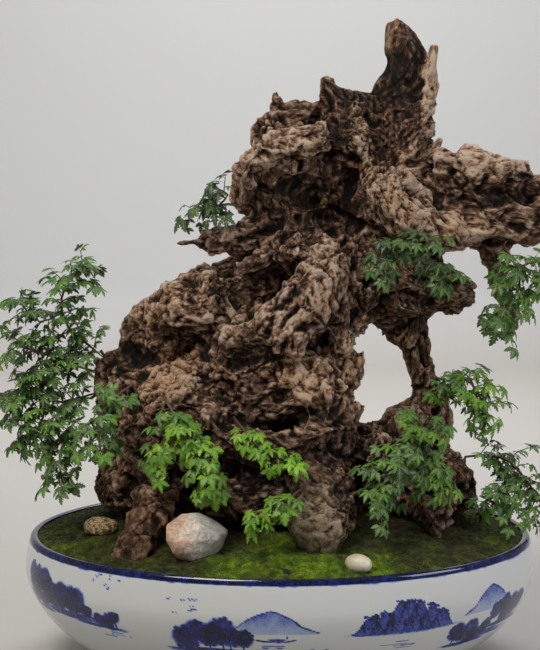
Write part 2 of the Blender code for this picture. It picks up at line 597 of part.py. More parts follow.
def make_stump():
    shape = bmesh.new()
    for _, centre, sizes, tilt in MASSES:
        blob(shape, centre, sizes, tilt)
    for _, points in LIMBS:
        path = smooth_path(points, LIMB_STEPS)
        limb = tube_mesh([p[:3] for p in path], [max(p[3], LEAST_RADIUS) for p in path], LIMB_SIDES)
        shape.from_mesh(limb)
    mesh = bpy.data.meshes.new("trunk")
    shape.to_mesh(mesh)
    shape.free()
    trunk = add("trunk", mesh, parts, DEADWOOD)
    remeshed(trunk, TRUNK_VOXEL)
    hollows = bmesh.new()
    for _, centre, sizes, tilt in HOLLOWS:
        blob(hollows, centre, sizes, tilt)
    mesh = bpy.data.meshes.new("hollows")
    hollows.to_mesh(mesh)
    hollows.free()
    rot = remeshed(add("hollows", mesh, cutters), TRUNK_VOXEL)
    soften = trunk.modifiers.new("soften", "SMOOTH")
    soften.factor = 0.5
    soften.iterations = SOFTENINGS
    cut = trunk.modifiers.new("rot", "BOOLEAN")
    cut.operation = "DIFFERENCE"
    cut.object = rot
    baked(trunk)
    remeshed(trunk, TRUNK_VOXEL)
    normals = [v.normal.copy() for v in trunk.data.vertices]
    for vert, normal in zip(trunk.data.vertices, normals):
        vert.co += normal * wood_relief(vert.co)
    remeshed(trunk, TRUNK_VOXEL)
    triangulated(trunk.data)
    thin = trunk.modifiers.new("thin", "DECIMATE")
    thin.ratio = TRUNK_TRIANGLES / len(trunk.data.polygons)
    baked(trunk)
    trunk_floor(trunk)
    return trunk


def trunk_floor(trunk):
    """Saws the stump off flat, where its roots end in the soil."""
    shape = bmesh.new()
    shape.from_mesh(trunk.data)
    level = RIM_HEIGHT - ROOT_DEPTH
    buried = [v for v in shape.verts if v.co.z < BURIED_HEIGHT]
    for _ in range(SMOOTHINGS):
        bmesh.ops.smooth_vert(shape, verts=buried, factor=0.5,
                              use_axis_x=True, use_axis_y=True, use_axis_z=True)
    for vert in shape.verts:
        if abs(vert.co.z - level) < SAW_SNAP:
            vert.co.z = level
    cut = bmesh.ops.bisect_plane(shape, geom=[*shape.verts, *shape.edges, *shape.faces], dist=WELD,
                                 plane_co=(0, 0, level), plane_no=(0, 0, 1), clear_inner=True)
    rim = [e for e in cut["geom_cut"] if isinstance(e, bmesh.types.BMEdge)]
    bmesh.ops.holes_fill(shape, edges=rim)
    bmesh.ops.triangulate(shape, faces=shape.faces)
    shape.to_mesh(trunk.data)
    shape.free()


# The soil and the stones that lie on it
def inner_half_width(height):
    """The pot's inner half width at a height, read along the straight runs of its profile."""
    inner = [p for p in pot_profile() if p[0] > 0][1:]
    low, high = inner[0], inner[1]
    for low, high in zip(inner, inner[1:]):
        if height <= high[1]:
            break
    return low[0] + (high[0] - low[0]) * (height - low[1]) / (high[1] - low[1])


def mound_height(x, y):
    """The soil's height at a place: it rises gently from the rim towards the stump, with small humps."""
    edge = RIM_HEIGHT - SOIL_BELOW_RIM
    soil_edge = inner_half_width(edge) - GAP / POT_DEPTH_SHARE
    share = min(1.0, math.hypot(x, y / POT_DEPTH_SHARE) / soil_edge)
    rise = MOUND_RISE * max(0.0, 1 - share**2)
    fade = max(0.0, min(1.0, HUMP_FADE * (1 - share)))
    humps = noise.noise(Vector((x * HUMP_SCALE, y * HUMP_SCALE, HUMP_SLICE))) * HUMP_HEIGHT * fade
    return edge + rise + humps


def make_soil():
    edge = RIM_HEIGHT - SOIL_BELOW_RIM
    bottom = FOOT_HEIGHT + FLOOR + GAP
    side = [p for p in pot_profile() if p[0] > 0][1:]
    side = [p for p in side[:side.index(max(side, key=lambda p: p[1]))] if p[1] < edge - EDGE_ROOM]
    wall = [(r - GAP / POT_DEPTH_SHARE, z) for r, z in reversed(side)]
    top_edge = inner_half_width(edge) - GAP / POT_DEPTH_SHARE
    rings = [(top_edge * i / SOIL_RINGS, edge) for i in range(SOIL_RINGS + 1)]
    floor_edge = pot_profile()[1][0] - GAP / POT_DEPTH_SHARE
    outline = [*rings, *wall, (floor_edge, bottom), (0, bottom)]
    soil = turned("soil", outline, POT_SEGMENTS, parts, MOSSY_SOIL)
    for vert in soil.data.vertices:
        if vert.co.z > edge - TOP_BAND:
            vert.co.z = mound_height(vert.co.x, vert.co.y)
    for screen_side in (-1, 1):
        recess = bmesh.new()
        bmesh.ops.create_cube(recess, size=1)
        width = SCREEN_SIDE + 2 * GAP
        height = 2 * (SCREEN_THICKNESS + GAP + RECESS_OVERCUT)
        middle = (screen_side * DRAIN_OFFSET, 0, bottom - RECESS_OVERCUT)
        bmesh.ops.scale(recess, vec=(width, width, height), verts=recess.verts)
        bmesh.ops.translate(recess, vec=middle, verts=recess.verts)
        mesh = bpy.data.meshes.new("screen_recess")
        recess.to_mesh(mesh)
        recess.free()
        cut = soil.modifiers.new("recess", "BOOLEAN")
        cut.object = add("screen_recess", mesh, cutters)
    return baked(soil)


def make_stone(name, place, sizes, turn, roughness, finish):
    """A stone: a rounded block with flats broken off, sunk a little into the mound."""
    shape = bmesh.new()
    bmesh.ops.create_icosphere(shape, subdivisions=STONE_DETAIL, radius=1)
    rng = random.Random(name)
    flats = []
    for _ in range(STONE_FLATS if roughness > SMOOTH_STONE else 0):
        facing = (rng.uniform(-1, 1), rng.uniform(-1, 1), rng.uniform(LOWEST_FLAT, 1))
        flats.append(Vector(facing).normalized())
    for vert in shape.verts:
        for flat in flats:
            over = vert.co.dot(flat) - FLAT_REACH
            if over > 0:
                vert.co -= flat * over * FLAT_BITE
        lumps = noise.noise(vert.co * STONE_LUMP_SCALE + STONE_SHIFT)
        vert.co += vert.normal * lumps * roughness * STONE_LUMPS
    height = mound_height(*place) + sizes[2] * (1 - STONE_SUNK)
    turned_by = Matrix.Rotation(math.radians(turn), 3, "Z")
    shape.transform(Matrix.LocRotScale(Vector((*place, height)), turned_by, Vector(sizes)))
    mesh = bpy.data.meshes.new(name)
    shape.to_mesh(mesh)
    shape.free()
    return add(name, mesh, parts, finish)


def seat(soil, piece):
    """Leaves a hollow in the soil that fits the piece, with a slight gap all round."""
    shape = bmesh.new()
    shape.from_mesh(piece.data)
    bmesh.ops.triangulate(shape, faces=shape.faces)
    cut = bmesh.ops.bisect_plane(shape, geom=[*shape.verts, *shape.edges, *shape.faces], dist=WELD,
                                 plane_co=(0, 0, SEAT_TOP), plane_no=(0, 0, 1), clear_outer=True)
    rim = [e for e in cut["geom_cut"] if isinstance(e, bmesh.types.BMEdge)]
    if rim:
        bmesh.ops.holes_fill(shape, edges=rim)
    shape.normal_update()
    steps = [v.normal * SEAT_GAP for v in shape.verts]
    for vert, step in zip(shape.verts, steps):
        vert.co += step
    mesh = bpy.data.meshes.new(piece.name + "_seat")
    shape.to_mesh(mesh)
    shape.free()
    cut = soil.modifiers.new("seat", "BOOLEAN")
    cut.use_self = True
    cut.object = add(piece.name + "_seat", mesh, cutters)
    baked(soil)
    triangulated(soil.data)
    largest_piece(soil)


# Leafy shoots
def leaflet_points(angle, length, width, sort):
    """One leaflet's outline from its lower side over its tip, in the blade's plane."""
    shape = LEAFLETS[sort]
    along = Vector((math.sin(angle), math.cos(angle)))
    across = Vector((along.y, -along.x))
    return [along * (s * length) + across * (t * width) for s, t in shape]


def blade_outline(size, kind):
    """A palmate blade's outline, anticlockwise from its stalk: five slim leaflets, or three lobed ones."""
    spread = BLADES[kind]
    notch = NOTCH * size
    points = []
    for number, (angle, length, width, sort) in enumerate(reversed(spread)):
        angle = math.radians(angle)
        if number:
            between = 0.5 * (angle + math.radians(spread[len(spread) - number][0]))
            points.append(Vector((math.sin(between), math.cos(between))) * notch)
        points += [Vector(p) for p in leaflet_points(angle, length * size, width * size, sort)]
    return points


def leaf_surface(foot, heading, facing, size, stalk, kind):
    """An open leaf surface: a flat stalk from its foot, and an arched blade cut into leaflets."""
    across = heading.cross(facing).normalized()
    hub = foot + (heading + facing * STALK_LIFT).normalized() * stalk
    half = STALK_WIDTH / 2
    verts = [hub + facing * HUB_RISE]
    base = [hub + across * half * BLADE_FOOT - heading * BLADE_BACK,
            hub - across * half * BLADE_FOOT - heading * BLADE_BACK]
    outline = []
    for point in blade_outline(size, kind):
        droop = point.length_squared / size * DROOP
        outline.append(hub + across * point.x + heading * point.y - facing * droop)
    ring = [base[0], *outline, base[1]]
    verts += ring
    count = len(ring)
    faces = [(0, i + 1, i + 2) for i in range(count - 1)]
    verts += [foot + across * half, foot - across * half]
    faces += [(0, count, 1), (1, count, count + 2), (1, count + 2, count + 1)]
    return verts, faces


def inside_by(tree, point):
    """How deep a point lies in a solid, or minus its distance outside. A far point counts as outside."""
    gap = tree.find_nearest(point)[3]
    if gap > FAR_OFF:
        return -gap
    crossings, start, ray = 0, point, Vector(TEST_RAY).normalized()
    while crossings < MOST_CROSSINGS:
        hit = tree.ray_cast(start, ray)[0]
        if hit is None:
            break
        crossings += 1
        start = hit + ray * RAY_STEP
    return gap if crossings % 2 else -gap


def leaf_skin(verts, faces):
    """A leaf's search tree, without the part of its stalk that is sunk in the stem."""
    free = verts[:-2] + [foot.lerp(verts[0], STALK_SUNK) for foot in verts[-2:]]
    return BVHTree.FromPolygons(free, faces, epsilon=LEAF_SPACE)


def leaf_clear(verts, skin, solids, crowd):
    """Whether a leaf stays off the solids and out of the other leaves."""
    for tree in solids:
        for vert in verts[:-2]:
            if inside_by(tree, vert) > -LEAF_CLEARANCE:
                return False
    return not any(skin.overlap(other) for other in crowd)


def stem_frames(path, spacing, first):
    """Places and directions along a path, at even steps from the first one to the end."""
    places, walked, target = [], 0.0, first
    for a, b in zip(path, path[1:]):
        a, b = Vector(a[:3]), Vector(b[:3])
        step = (b - a).length
        while walked + step >= target:
            places.append((a.lerp(b, (target - walked) / step), (b - a).normalized()))
            target += spacing
        walked += step
    return places


def clear_path(curve, solids):
    """The curve held off the solids, and ever further until a tube along it meets none of them."""
    distance = STEM_CLEARANCE
    for _ in range(STEM_TRIES):
        path = [curve[0], *held_off(curve[1:], solids, distance)]
        skin = tree_of(tube_mesh(path, [STEM_RADIUS + STEM_ROOM] * len(path), STEM_SIDES))
        if not any(skin.overlap(tree) for tree in solids):
            break
        distance *= FURTHER
    return [tuple(p) for p in path]


def dress_stem(name, path, first, solids, crowd, own):
    """The leaves of one stem: pairs at even steps, and one at the tip. Returns their surfaces."""
    leaves = []
    tip, lean = Vector(path[-1][:3]), (Vector(path[-1][:3]) - Vector(path[-2][:3])).normalized()
    frames = stem_frames(path, LEAF_SPACING, first)
    spots = [(place, along, side) for place, along in frames for side in (-1, 1)
             if (place - tip).length > TIP_ROOM]
    spots.append((tip - lean * TIP_BACK, lean, 0))
    for number, (place, along, side) in enumerate(spots):
        rng = random.Random(f"{name}_{number}")
        outward = Vector((place.x, place.y - FRONT_PULL * math.copysign(1, -place.y), 0)).normalized()
        for attempt in range(LEAF_TRIES):
            wander = WANDER + WANDER_STEP * attempt
            up = (Vector((0, 0, 1)) + outward * rng.uniform(*OUTWARD_LEAN)).normalized()
            sideways = along.cross(up).normalized() * side
            heading = along * rng.uniform(*ALONG_LEAN) + sideways * SIDE_LEAN
            heading -= Vector((0, 0, 1)) * rng.uniform(*DOWN_LEAN)
            heading += Vector([rng.uniform(-wander, wander) for _ in range(3)])
            heading.normalize()
            facing = (up - heading * up.dot(heading)).normalized()
            size = rng.uniform(*SIZE_RANGE) * LEAF_LENGTH * (1 - SIZE_STEP * attempt)
            kind = "five" if rng.random() < FIVE_SHARE else "three"
            stalk = rng.uniform(*STALK_RANGE) * STALK_LENGTH
            verts, faces = leaf_surface(place, heading, facing, size, stalk, kind)
            skin = leaf_skin(verts, faces)
            if leaf_clear(verts, skin, solids, crowd + own):
                leaves.append((verts, faces))
                own.append(skin)
                break
    return leaves


def held_off(points, solids, distance):
    """The points moved, where needed, to this distance outside the solids."""
    kept = []
    for point in points:
        for _ in range(HOLD_ROUNDS):
            for tree in solids:
                depth = inside_by(tree, point)
                if depth > -distance:
                    near, normal, _, _ = tree.find_nearest(point)
                    away = normal if depth > 0 or point == near else (point - near).normalized()
                    point = near + away * distance
        kept.append(point)
    return kept


def triangulated(mesh):
    """Splits a mesh into triangles, without the flat fins of two equal faces that a sliver can leave."""
    shape = bmesh.new()
    shape.from_mesh(mesh)
    bmesh.ops.triangulate(shape, faces=shape.faces)
    seen = {}
    for face in shape.faces:
        seen.setdefault(frozenset(v.index for v in face.verts), []).append(face)
    fins = [face for faces in seen.values() if len(faces) == 2 for face in faces]
    bmesh.ops.delete(shape, geom=fins, context="FACES")
    shape.to_mesh(mesh)
    shape.free()


def touches_itself(mesh):
    """Whether the skin of a mesh meets itself along an edge."""
    shape = bmesh.new()
    shape.from_mesh(mesh)
    odd = any(len(edge.link_faces) != 2 for edge in shape.edges)
    shape.free()
    return odd


def fused(name, stem, twigs, leaves, thickness):
    """The stem with its twigs and leaves as one body, in an object of this name."""
    shoot = add(name, stem.copy(), parts)
    grown = bpy.data.collections.new(name + "_growth")
    bpy.context.scene.collection.children.link(grown)
    for twig in twigs:
        add(name + "_twig", twig.copy(), grown)
    for verts, faces in leaves:
        blade = bpy.data.meshes.new("leaf")
        blade.from_pydata(verts, [], faces)
        leaf = add(name + "_leaf", blade, grown)
        thick = leaf.modifiers.new("thickness", "SOLIDIFY")
        thick.thickness = thickness
        thick.offset = 0
        baked(leaf)
    join = shoot.modifiers.new("grown", "BOOLEAN")
    join.operation = "UNION"
    join.operand_type = "COLLECTION"
    join.solver = "MANIFOLD"
    join.collection = grown
    baked(shoot)
    for piece in list(grown.objects):
        bpy.data.objects.remove(piece)
    bpy.data.collections.remove(grown)
    triangulated(shoot.data)
    largest_piece(shoot)
    shoot.data.materials.clear()
    shoot.data.materials.append(FOLIAGE)
    return shoot


def make_socket(name, foot, normal):
    """The plain round hole in the wood that a shoot's foot stands in, as a cutter."""
    radius = (STEM_RADIUS + GAP) / math.cos(math.pi / SOCKET_SIDES)
    length = SOCKET_DEPTH + 2 * GAP + STEM_RISE
    turn = normal.to_track_quat("Z", "Y").to_matrix().to_4x4()
    drill = bmesh.new()
    middle = Matrix.Translation(foot + normal * (STEM_RISE - length / 2))
    bmesh.ops.create_cone(drill, cap_ends=True, segments=SOCKET_SIDES, radius1=radius, radius2=radius,
                          depth=length, matrix=middle @ turn)
    mesh = bpy.data.meshes.new(name + "_socket")
    drill.to_mesh(mesh)
    drill.free()
    return add(name + "_socket", mesh, cutters)


def lay_stems(stems, trunk_tree, solids):
    """A shoot's foot on the wood, the direction out of the wood there, and its stem's and twigs' paths."""
    foot, normal, _, _ = trunk_tree.find_nearest(Vector(stems[0][0]))
    paths = []
    for number, stem in enumerate(stems):
        if number:
            places = paths[0][FIRST_FORK:-1]
            start = min(places, key=lambda p: (Vector(p) - Vector(stem[0])).length)
            knots = [Vector(start), *held_off([Vector(p) for p in stem], solids, KNOT_CLEARANCE)]
        else:
            start = foot + normal * STEM_RISE
            knots = [start, *held_off([Vector(p) for p in stem[1:]], solids, KNOT_CLEARANCE)]
        curve = [Vector(p) for p in smooth_path([tuple(k) for k in knots], STEM_STEPS)]
        paths.append(clear_path(curve, solids))
    return foot, normal, paths


def stem_tubes(foot, normal, paths):
    """The tubes of a shoot's stem, which tapers from its sunk foot, and of its twigs."""
    main_path = [tuple(foot - normal * SOCKET_DEPTH), *paths[0]]
    taper = (TWIG_RADIUS - STEM_RADIUS) / (len(main_path) - 2)
    radii = [STEM_RADIUS, *[STEM_RADIUS + taper * i for i in range(len(main_path) - 1)]]
    twigs = [tube_mesh(path, [TWIG_RADIUS] * len(path), STEM_SIDES) for path in paths[1:]]
    return [tube_mesh(main_path, radii, STEM_SIDES), *twigs]


def make_shoot(name, paths, tubes, solids, crowd):
    """One leafy shoot as a single body. Returns its leaves' trees."""
    own = []
    leaves = []
    for number, path in enumerate(paths):
        first = FIRST_TWIG_LEAF if number else FIRST_LEAF
        leaves += dress_stem(f"{name}_{number}", path, first, solids, crowd, own)
    thickness = LEAF_THICKNESS
    shoot = fused(name, tubes[0], tubes[1:], leaves, thickness)
    while touches_itself(shoot.data) and thickness < MOST_LEAF_THICKNESS:
        bpy.data.objects.remove(shoot)
        thickness *= THICKER
        shoot = fused(name, tubes[0], tubes[1:], leaves, thickness)
    return own


def main():
    pot = make_pot()
    make_screen("drain_screen_left", -1)
    make_screen("drain_screen_right", 1)
    trunk = make_stump()
    soil = make_soil()
    finishes = {"quartz_rock": QUARTZ, "speckled_stone": SPECKLED, "white_pebble": PEBBLE}
    stones = [make_stone(*stone, finishes[stone[0]]) for stone in STONES]
    for piece in (trunk, *stones):
        seat(soil, piece)
    trunk_tree = tree_of(trunk.data)
    solids = [trunk_tree, *[tree_of(piece.data) for piece in (soil, pot, *stones)]]
    laid = {name: lay_stems(stems, trunk_tree, solids) for name, stems in SHOOTS}
    tubes = {name: stem_tubes(*stem) for name, stem in laid.items()}
    skins = {name: [tree_of(tube) for tube in row] for name, row in tubes.items()}
    crowd = []
    for name, (foot, normal, paths) in laid.items():
        stems = [skin for other, row in skins.items() if other != name for skin in row]
        crowd += make_shoot(name, paths, tubes[name], solids, crowd + stems)
        make_socket(name, foot, normal)
    drill = trunk.modifiers.new("sockets", "BOOLEAN")
    sockets = bpy.data.collections.new("sockets")
    cutters.children.link(sockets)
    for socket in [c for c in cutters.objects if c.name.endswith("_socket")]:
        sockets.objects.link(socket)
    drill.operand_type = "COLLECTION"
    drill.collection = sockets
    baked(trunk)
    triangulated(trunk.data)
    largest_piece(trunk)
    trunk.data.materials.clear()
    trunk.data.materials.append(DEADWOOD)


main()
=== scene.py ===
# %% [markdown]
# # An old chastetree stump in a painted porcelain basin
# This is a Chinese chastetree grown as a bonsai: a hollow, weathered stump, with thin young shoots, that
# stands in an oval blue-and-white basin of mossy soil with three stones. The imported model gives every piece
# its place and size. This lesson dresses it: the wood's relief and colour, the moss, the stones, the glaze
# with its brushwork, and the cut leaves.

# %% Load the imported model
import math
import random

import bmesh
import bpy
import numpy as np
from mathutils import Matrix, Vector, noise
from mathutils.bvhtree import BVHTree


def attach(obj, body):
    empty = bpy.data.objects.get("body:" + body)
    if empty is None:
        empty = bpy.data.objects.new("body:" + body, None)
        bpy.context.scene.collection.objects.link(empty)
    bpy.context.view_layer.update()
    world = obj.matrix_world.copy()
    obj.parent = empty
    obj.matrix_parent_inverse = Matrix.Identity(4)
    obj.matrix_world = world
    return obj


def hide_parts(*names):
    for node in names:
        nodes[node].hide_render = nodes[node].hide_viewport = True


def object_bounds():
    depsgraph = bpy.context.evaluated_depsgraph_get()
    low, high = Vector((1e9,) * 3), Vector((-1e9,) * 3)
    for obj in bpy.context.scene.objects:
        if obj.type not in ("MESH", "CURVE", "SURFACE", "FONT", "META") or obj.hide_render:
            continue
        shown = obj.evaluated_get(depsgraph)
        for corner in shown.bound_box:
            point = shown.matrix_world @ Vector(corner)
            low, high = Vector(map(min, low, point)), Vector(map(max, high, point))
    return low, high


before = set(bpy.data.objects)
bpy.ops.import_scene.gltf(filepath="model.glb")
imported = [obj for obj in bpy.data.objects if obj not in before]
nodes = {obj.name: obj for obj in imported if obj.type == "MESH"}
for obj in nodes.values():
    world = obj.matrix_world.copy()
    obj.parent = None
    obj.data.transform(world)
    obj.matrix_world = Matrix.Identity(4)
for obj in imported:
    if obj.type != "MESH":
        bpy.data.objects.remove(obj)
cad_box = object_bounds()
print("nodes:", len(nodes), "box:", [tuple(round(c, 3) for c in corner) for corner in cad_box])

# %% [markdown]
# ## Helpers
# Colours are written as on a colour chart, in sRGB hex, and turned to the linear values that a shader works
# with. One function adds a node with its settings and links. Most objects are made with Blender's own
# operators, which act on what is selected, so a helper selects just one object. Others read and move all
# vertices of a mesh at once, and store values on them that a material can read.


# %% Helpers for colours, nodes and selection
def linear(code):
    """The linear colour of an sRGB hex value."""
    parts = [int(code[i:i + 2], 16) / 255 for i in (1, 3, 5)]
    return (*[c / 12.92 if c <= 0.04045 else ((c + 0.055) / 1.055) ** 2.4 for c in parts], 1.0)


def node(tree, kind, settings=None, links=None):
    """Adds a shader node. Settings are attributes, input sockets or a ramp's stops; links feed sockets."""
    made = tree.nodes.new("ShaderNode" + kind)
    for key, value in (settings or {}).items():
        if key == "stops":
            while len(made.color_ramp.elements) < len(value):
                made.color_ramp.elements.new(0.5)
            for stop, (place, code) in zip(made.color_ramp.elements, value):
                stop.position = place
                stop.color = linear(code)
        elif isinstance(key, int) or key in made.inputs:
            made.inputs[key].default_value = value
        else:
            setattr(made, key, value)
    for key, source in (links or {}).items():
        tree.links.new(source, made.inputs[key])
    return made


def material(name, roughness, ior=1.5):
    """A new Principled material with its node tree and its shader."""
    made = bpy.data.materials.new(name)
    made.use_nodes = True
    shader = made.node_tree.nodes["Principled BSDF"]
    shader.inputs["Roughness"].default_value = roughness
    shader.inputs["IOR"].default_value = ior
    return made, made.node_tree, shader


def select(obj):
    """Selects this object alone and makes it active."""
    bpy.ops.object.select_all(action="DESELECT")
    obj.select_set(True)
    bpy.context.view_layer.objects.active = obj


def modify(obj, kind, **settings):
    """Adds a modifier with these settings and applies it."""
    select(obj)
    made = obj.modifiers.new(kind.lower(), kind)
    for key, value in settings.items():
        setattr(made, key, value)
    bpy.ops.object.modifier_apply(modifier=made.name)


def merged_copy(name, source):
    """A copy of a CAD node as one welded mesh."""
    made = bpy.data.objects.new(name, source.data.copy())
    bpy.context.scene.collection.objects.link(made)
    made.data.materials.clear()
    select(made)
    bpy.ops.object.mode_set(mode="EDIT")
    bpy.ops.mesh.select_all(action="SELECT")
    bpy.ops.mesh.remove_doubles(threshold=1e-6)
    bpy.ops.object.mode_set(mode="OBJECT")
    return made


def places(mesh):
    """The vertices of a mesh as rows of x, y and z."""
    rows = np.empty(len(mesh.vertices) * 3)
    mesh.vertices.foreach_get("co", rows)
    return rows.reshape(-1, 3)


def directions(mesh):
    """The vertex normals of a mesh as rows."""
    rows = np.empty(len(mesh.vertices) * 3)
    mesh.vertex_normals.foreach_get("vector", rows)
    return rows.reshape(-1, 3)


def move_to(mesh, rows):
    """Puts the vertices of a mesh at these places."""
    mesh.vertices.foreach_set("co", rows.ravel())
    mesh.update()


def keep(mesh, name, values):
    """Stores one number, or one vector, for each vertex, for a material to read."""
    kind, field_name = ("FLOAT", "value") if values.ndim == 1 else ("FLOAT_VECTOR", "vector")
    stored = mesh.attributes.new(name, kind, "POINT")
    stored.data.foreach_set(field_name, values.astype(np.float32).ravel())


def field(rows, scale, shift=(0.0, 0.0, 0.0)):
    """Smooth noise from -1 to 1 at each row's place."""
    return np.array([noise.noise(p) for p in (rows * scale + np.array(shift)).tolist()])


def faded(values, low, high):
    """A smooth step from 0 at low to 1 at high."""
    t = np.clip((values - low) / (high - low), 0.0, 1.0)
    return t * t * (3 - 2 * t)


def coat(obj, finish):
    """Gives an object this material and no other."""
    obj.data.materials.clear()
    obj.data.materials.append(finish)


def settle(obj):
    """The finished piece rides on the part's one body, and its triangles are printed."""
    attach(obj, "root")
    print(obj.name, "triangles:", sum(len(p.vertices) - 2 for p in obj.data.polygons))


print("half grey in linear light:", round(linear("#808080")[0], 3))

# %% [markdown]
# ## The camera, the light and the room
# The picture was taken from two metres away at about the height of the stump's shoulder, looking slightly
# down, with the light of a wide, hazy sky. A long lens from there gives the basin's rim its narrow oval. A
# sky of one colour does most of the lighting, as haze does, and four wide lamps give soft shadows. A pale
# floor that rises into a pale wall stands in for the room: it is one bent sheet, so no corner shows.

# %% Camera, lights and room
FRAME_HEIGHT = 650
FOCAL_PIXELS = 1400
CAMERA_PLACE = (-0.0143, -1.99, 0.687)
LOOKING_DOWN = 5.97
SENSOR = 24.0
HAZE = 0.56

scene = bpy.context.scene
lens = bpy.data.cameras.new("camera")
lens.sensor_fit = "VERTICAL"
lens.sensor_height = SENSOR
lens.lens = FOCAL_PIXELS / FRAME_HEIGHT * SENSOR
camera = bpy.data.objects.new("camera", lens)
camera.location = CAMERA_PLACE
camera.rotation_euler = (math.radians(90 - LOOKING_DOWN), 0, 0)
scene.collection.objects.link(camera)
scene.camera = camera
scene.view_settings.view_transform = "Standard"

sky = bpy.data.worlds.new("room_light")
sky.use_nodes = True
sky.node_tree.nodes["Background"].inputs["Color"].default_value = linear("#F4F4F2")
sky.node_tree.nodes["Background"].inputs["Strength"].default_value = HAZE
scene.world = sky


def lamp(name, place, aim, size, power, colour):
    """A square soft light at a place, turned towards a point."""
    bulb = bpy.data.lights.new(name, "AREA")
    bulb.size = size
    bulb.energy = power
    bulb.color = linear(colour)[:3]
    made = bpy.data.objects.new(name, bulb)
    made.location = place
    made.rotation_euler = (Vector(aim) - Vector(place)).to_track_quat("-Z", "Y").to_euler()
    scene.collection.objects.link(made)


MIDDLE = (0, 0, 0.45)
LAMPS = [
    ("high_window", (-0.9, -1.3, 2.4), MIDDLE, 1.1, 42, "#FFF9F0"),
    ("side_window", (1.9, -1.1, 1.3), MIDDLE, 1.0, 16, "#F6F8FF"),
    ("back_window", (0.6, 1.6, 2.2), MIDDLE, 1.2, 12, "#F4F8FF"),
    ("wall_wash", (0.0, 1.9, 2.6), (0.0, 3.1, 0.7), 1.6, 40, "#FFFDFB"),
]
for settings in LAMPS:
    lamp(*settings)
print("lens mm:", round(lens.lens, 1), "lamps:", len(LAMPS))

FLOOR_REACH = 4.5
WALL_DISTANCE = 3.1
WALL_STEPS = ((0.10, 0.02), (0.09, 0.05), (0.06, 0.09), (0.02, 0.12), (0.0, 3.2))
bpy.ops.object.select_all(action="DESELECT")
bpy.ops.mesh.primitive_plane_add(size=2 * FLOOR_REACH, location=(0, WALL_DISTANCE - FLOOR_REACH, -0.0005))
room = bpy.context.object
room.name = "room_floor"
bpy.ops.object.mode_set(mode="EDIT")
shape = bmesh.from_edit_mesh(room.data)
for edge in shape.edges:
    edge.select_set(all(v.co.y > 0 for v in edge.verts))
bmesh.update_edit_mesh(room.data)
for run, rise in WALL_STEPS:
    bpy.ops.mesh.extrude_region_move(TRANSFORM_OT_translate={"value": (0, run, rise)})
bpy.ops.object.mode_set(mode="OBJECT")
bpy.ops.object.transform_apply(location=True, rotation=True, scale=True)
bpy.ops.object.shade_smooth()
plaster, tree, shader = material("pale_plaster", 0.9)
spot = node(tree, "TexCoord")
parts = node(tree, "SeparateXYZ", {}, {"Vector": spot.outputs["Object"]})
height_share = node(tree, "Math", {"operation": "MULTIPLY", 1: 5.0, "use_clamp": True},
                    {0: parts.outputs["Z"]})
tone = node(tree, "ValToRGB", {"stops": [(0.0, "#CBC8C4"), (1.0, "#DADCDD")]},
            {0: height_share.outputs[0]})
tree.links.new(tone.outputs["Color"], shader.inputs["Base Color"])
coat(room, plaster)
print("room faces:", len(room.data.polygons))

# %% [markdown]
# ## The weathered wood: form
# The stump is deadwood: rain and rot have eaten the soft wood away between hard, twisted ribs. The packed
# stump has the main masses with flat facets. Such relief could be sculpted by hand, or left to a bump in the
# material, but a bump is missing from the outline. So a copy of the stump gets thin splinters, root flares
# and tapering ribs, is remeshed into small even squares, smoothed, and thinned out where it is buried or
# faces the wall. Then it is pushed in and out along its normals by noise.

# %% Splinters, flares and ribs
SPLINTERS = [
    ((-0.007, -0.004, 0.762), (-0.005, -0.010, 0.812), 0.0150, 0.0050),
    ((-0.024, -0.006, 0.748), (-0.034, -0.012, 0.772), 0.0120, 0.0060),
    ((0.071, -0.016, 0.768), (0.066, -0.020, 0.828), 0.0150, 0.0095),
    ((0.086, -0.016, 0.772), (0.084, -0.022, 0.814), 0.0110, 0.0060),
    ((0.100, -0.030, 0.760), (0.104, -0.034, 0.795), 0.0110, 0.0060),
    ((0.036, -0.012, 0.765), (0.034, -0.014, 0.792), 0.0100, 0.0060),
    ((0.192, -0.026, 0.752), (0.2135, -0.024, 0.872), 0.0140, 0.0072),
    ((0.162, 0.004, 0.860), (0.152, 0.002, 0.905), 0.0170, 0.0070),
    ((0.211, -0.030, 0.710), (0.222, -0.036, 0.744), 0.0110, 0.0050),
    ((0.262, -0.028, 0.702), (0.268, -0.034, 0.732), 0.0140, 0.0060),
    ((0.318, -0.026, 0.686), (0.330, -0.030, 0.712), 0.0120, 0.0050),
    ((-0.070, -0.044, 0.607), (-0.147, -0.050, 0.596), 0.0130, 0.0026),
    ((-0.045, -0.046, 0.598), (-0.100, -0.056, 0.582), 0.0090, 0.0030),
    ((-0.036, -0.052, 0.676), (-0.062, -0.062, 0.706), 0.0120, 0.0070),
    ((-0.180, -0.138, 0.240), (-0.188, -0.172, 0.172), 0.0200, 0.0190),
    ((-0.186, -0.130, 0.235), (-0.216, -0.160, 0.172), 0.0180, 0.0170),
    ((0.052, -0.096, 0.566), (-0.050, -0.104, 0.462), 0.0240, 0.0160),
    ((0.058, -0.100, 0.560), (0.012, -0.110, 0.452), 0.0240, 0.0180),
    ((0.066, -0.094, 0.556), (0.086, -0.084, 0.452), 0.0220, 0.0150),
    ((0.030, -0.086, 0.600), (-0.060, -0.060, 0.560), 0.0180, 0.0120),
]
WOOD_GRID = 0.0034
BURIED_BELOW = 0.17
FACES_KEPT = 0.64

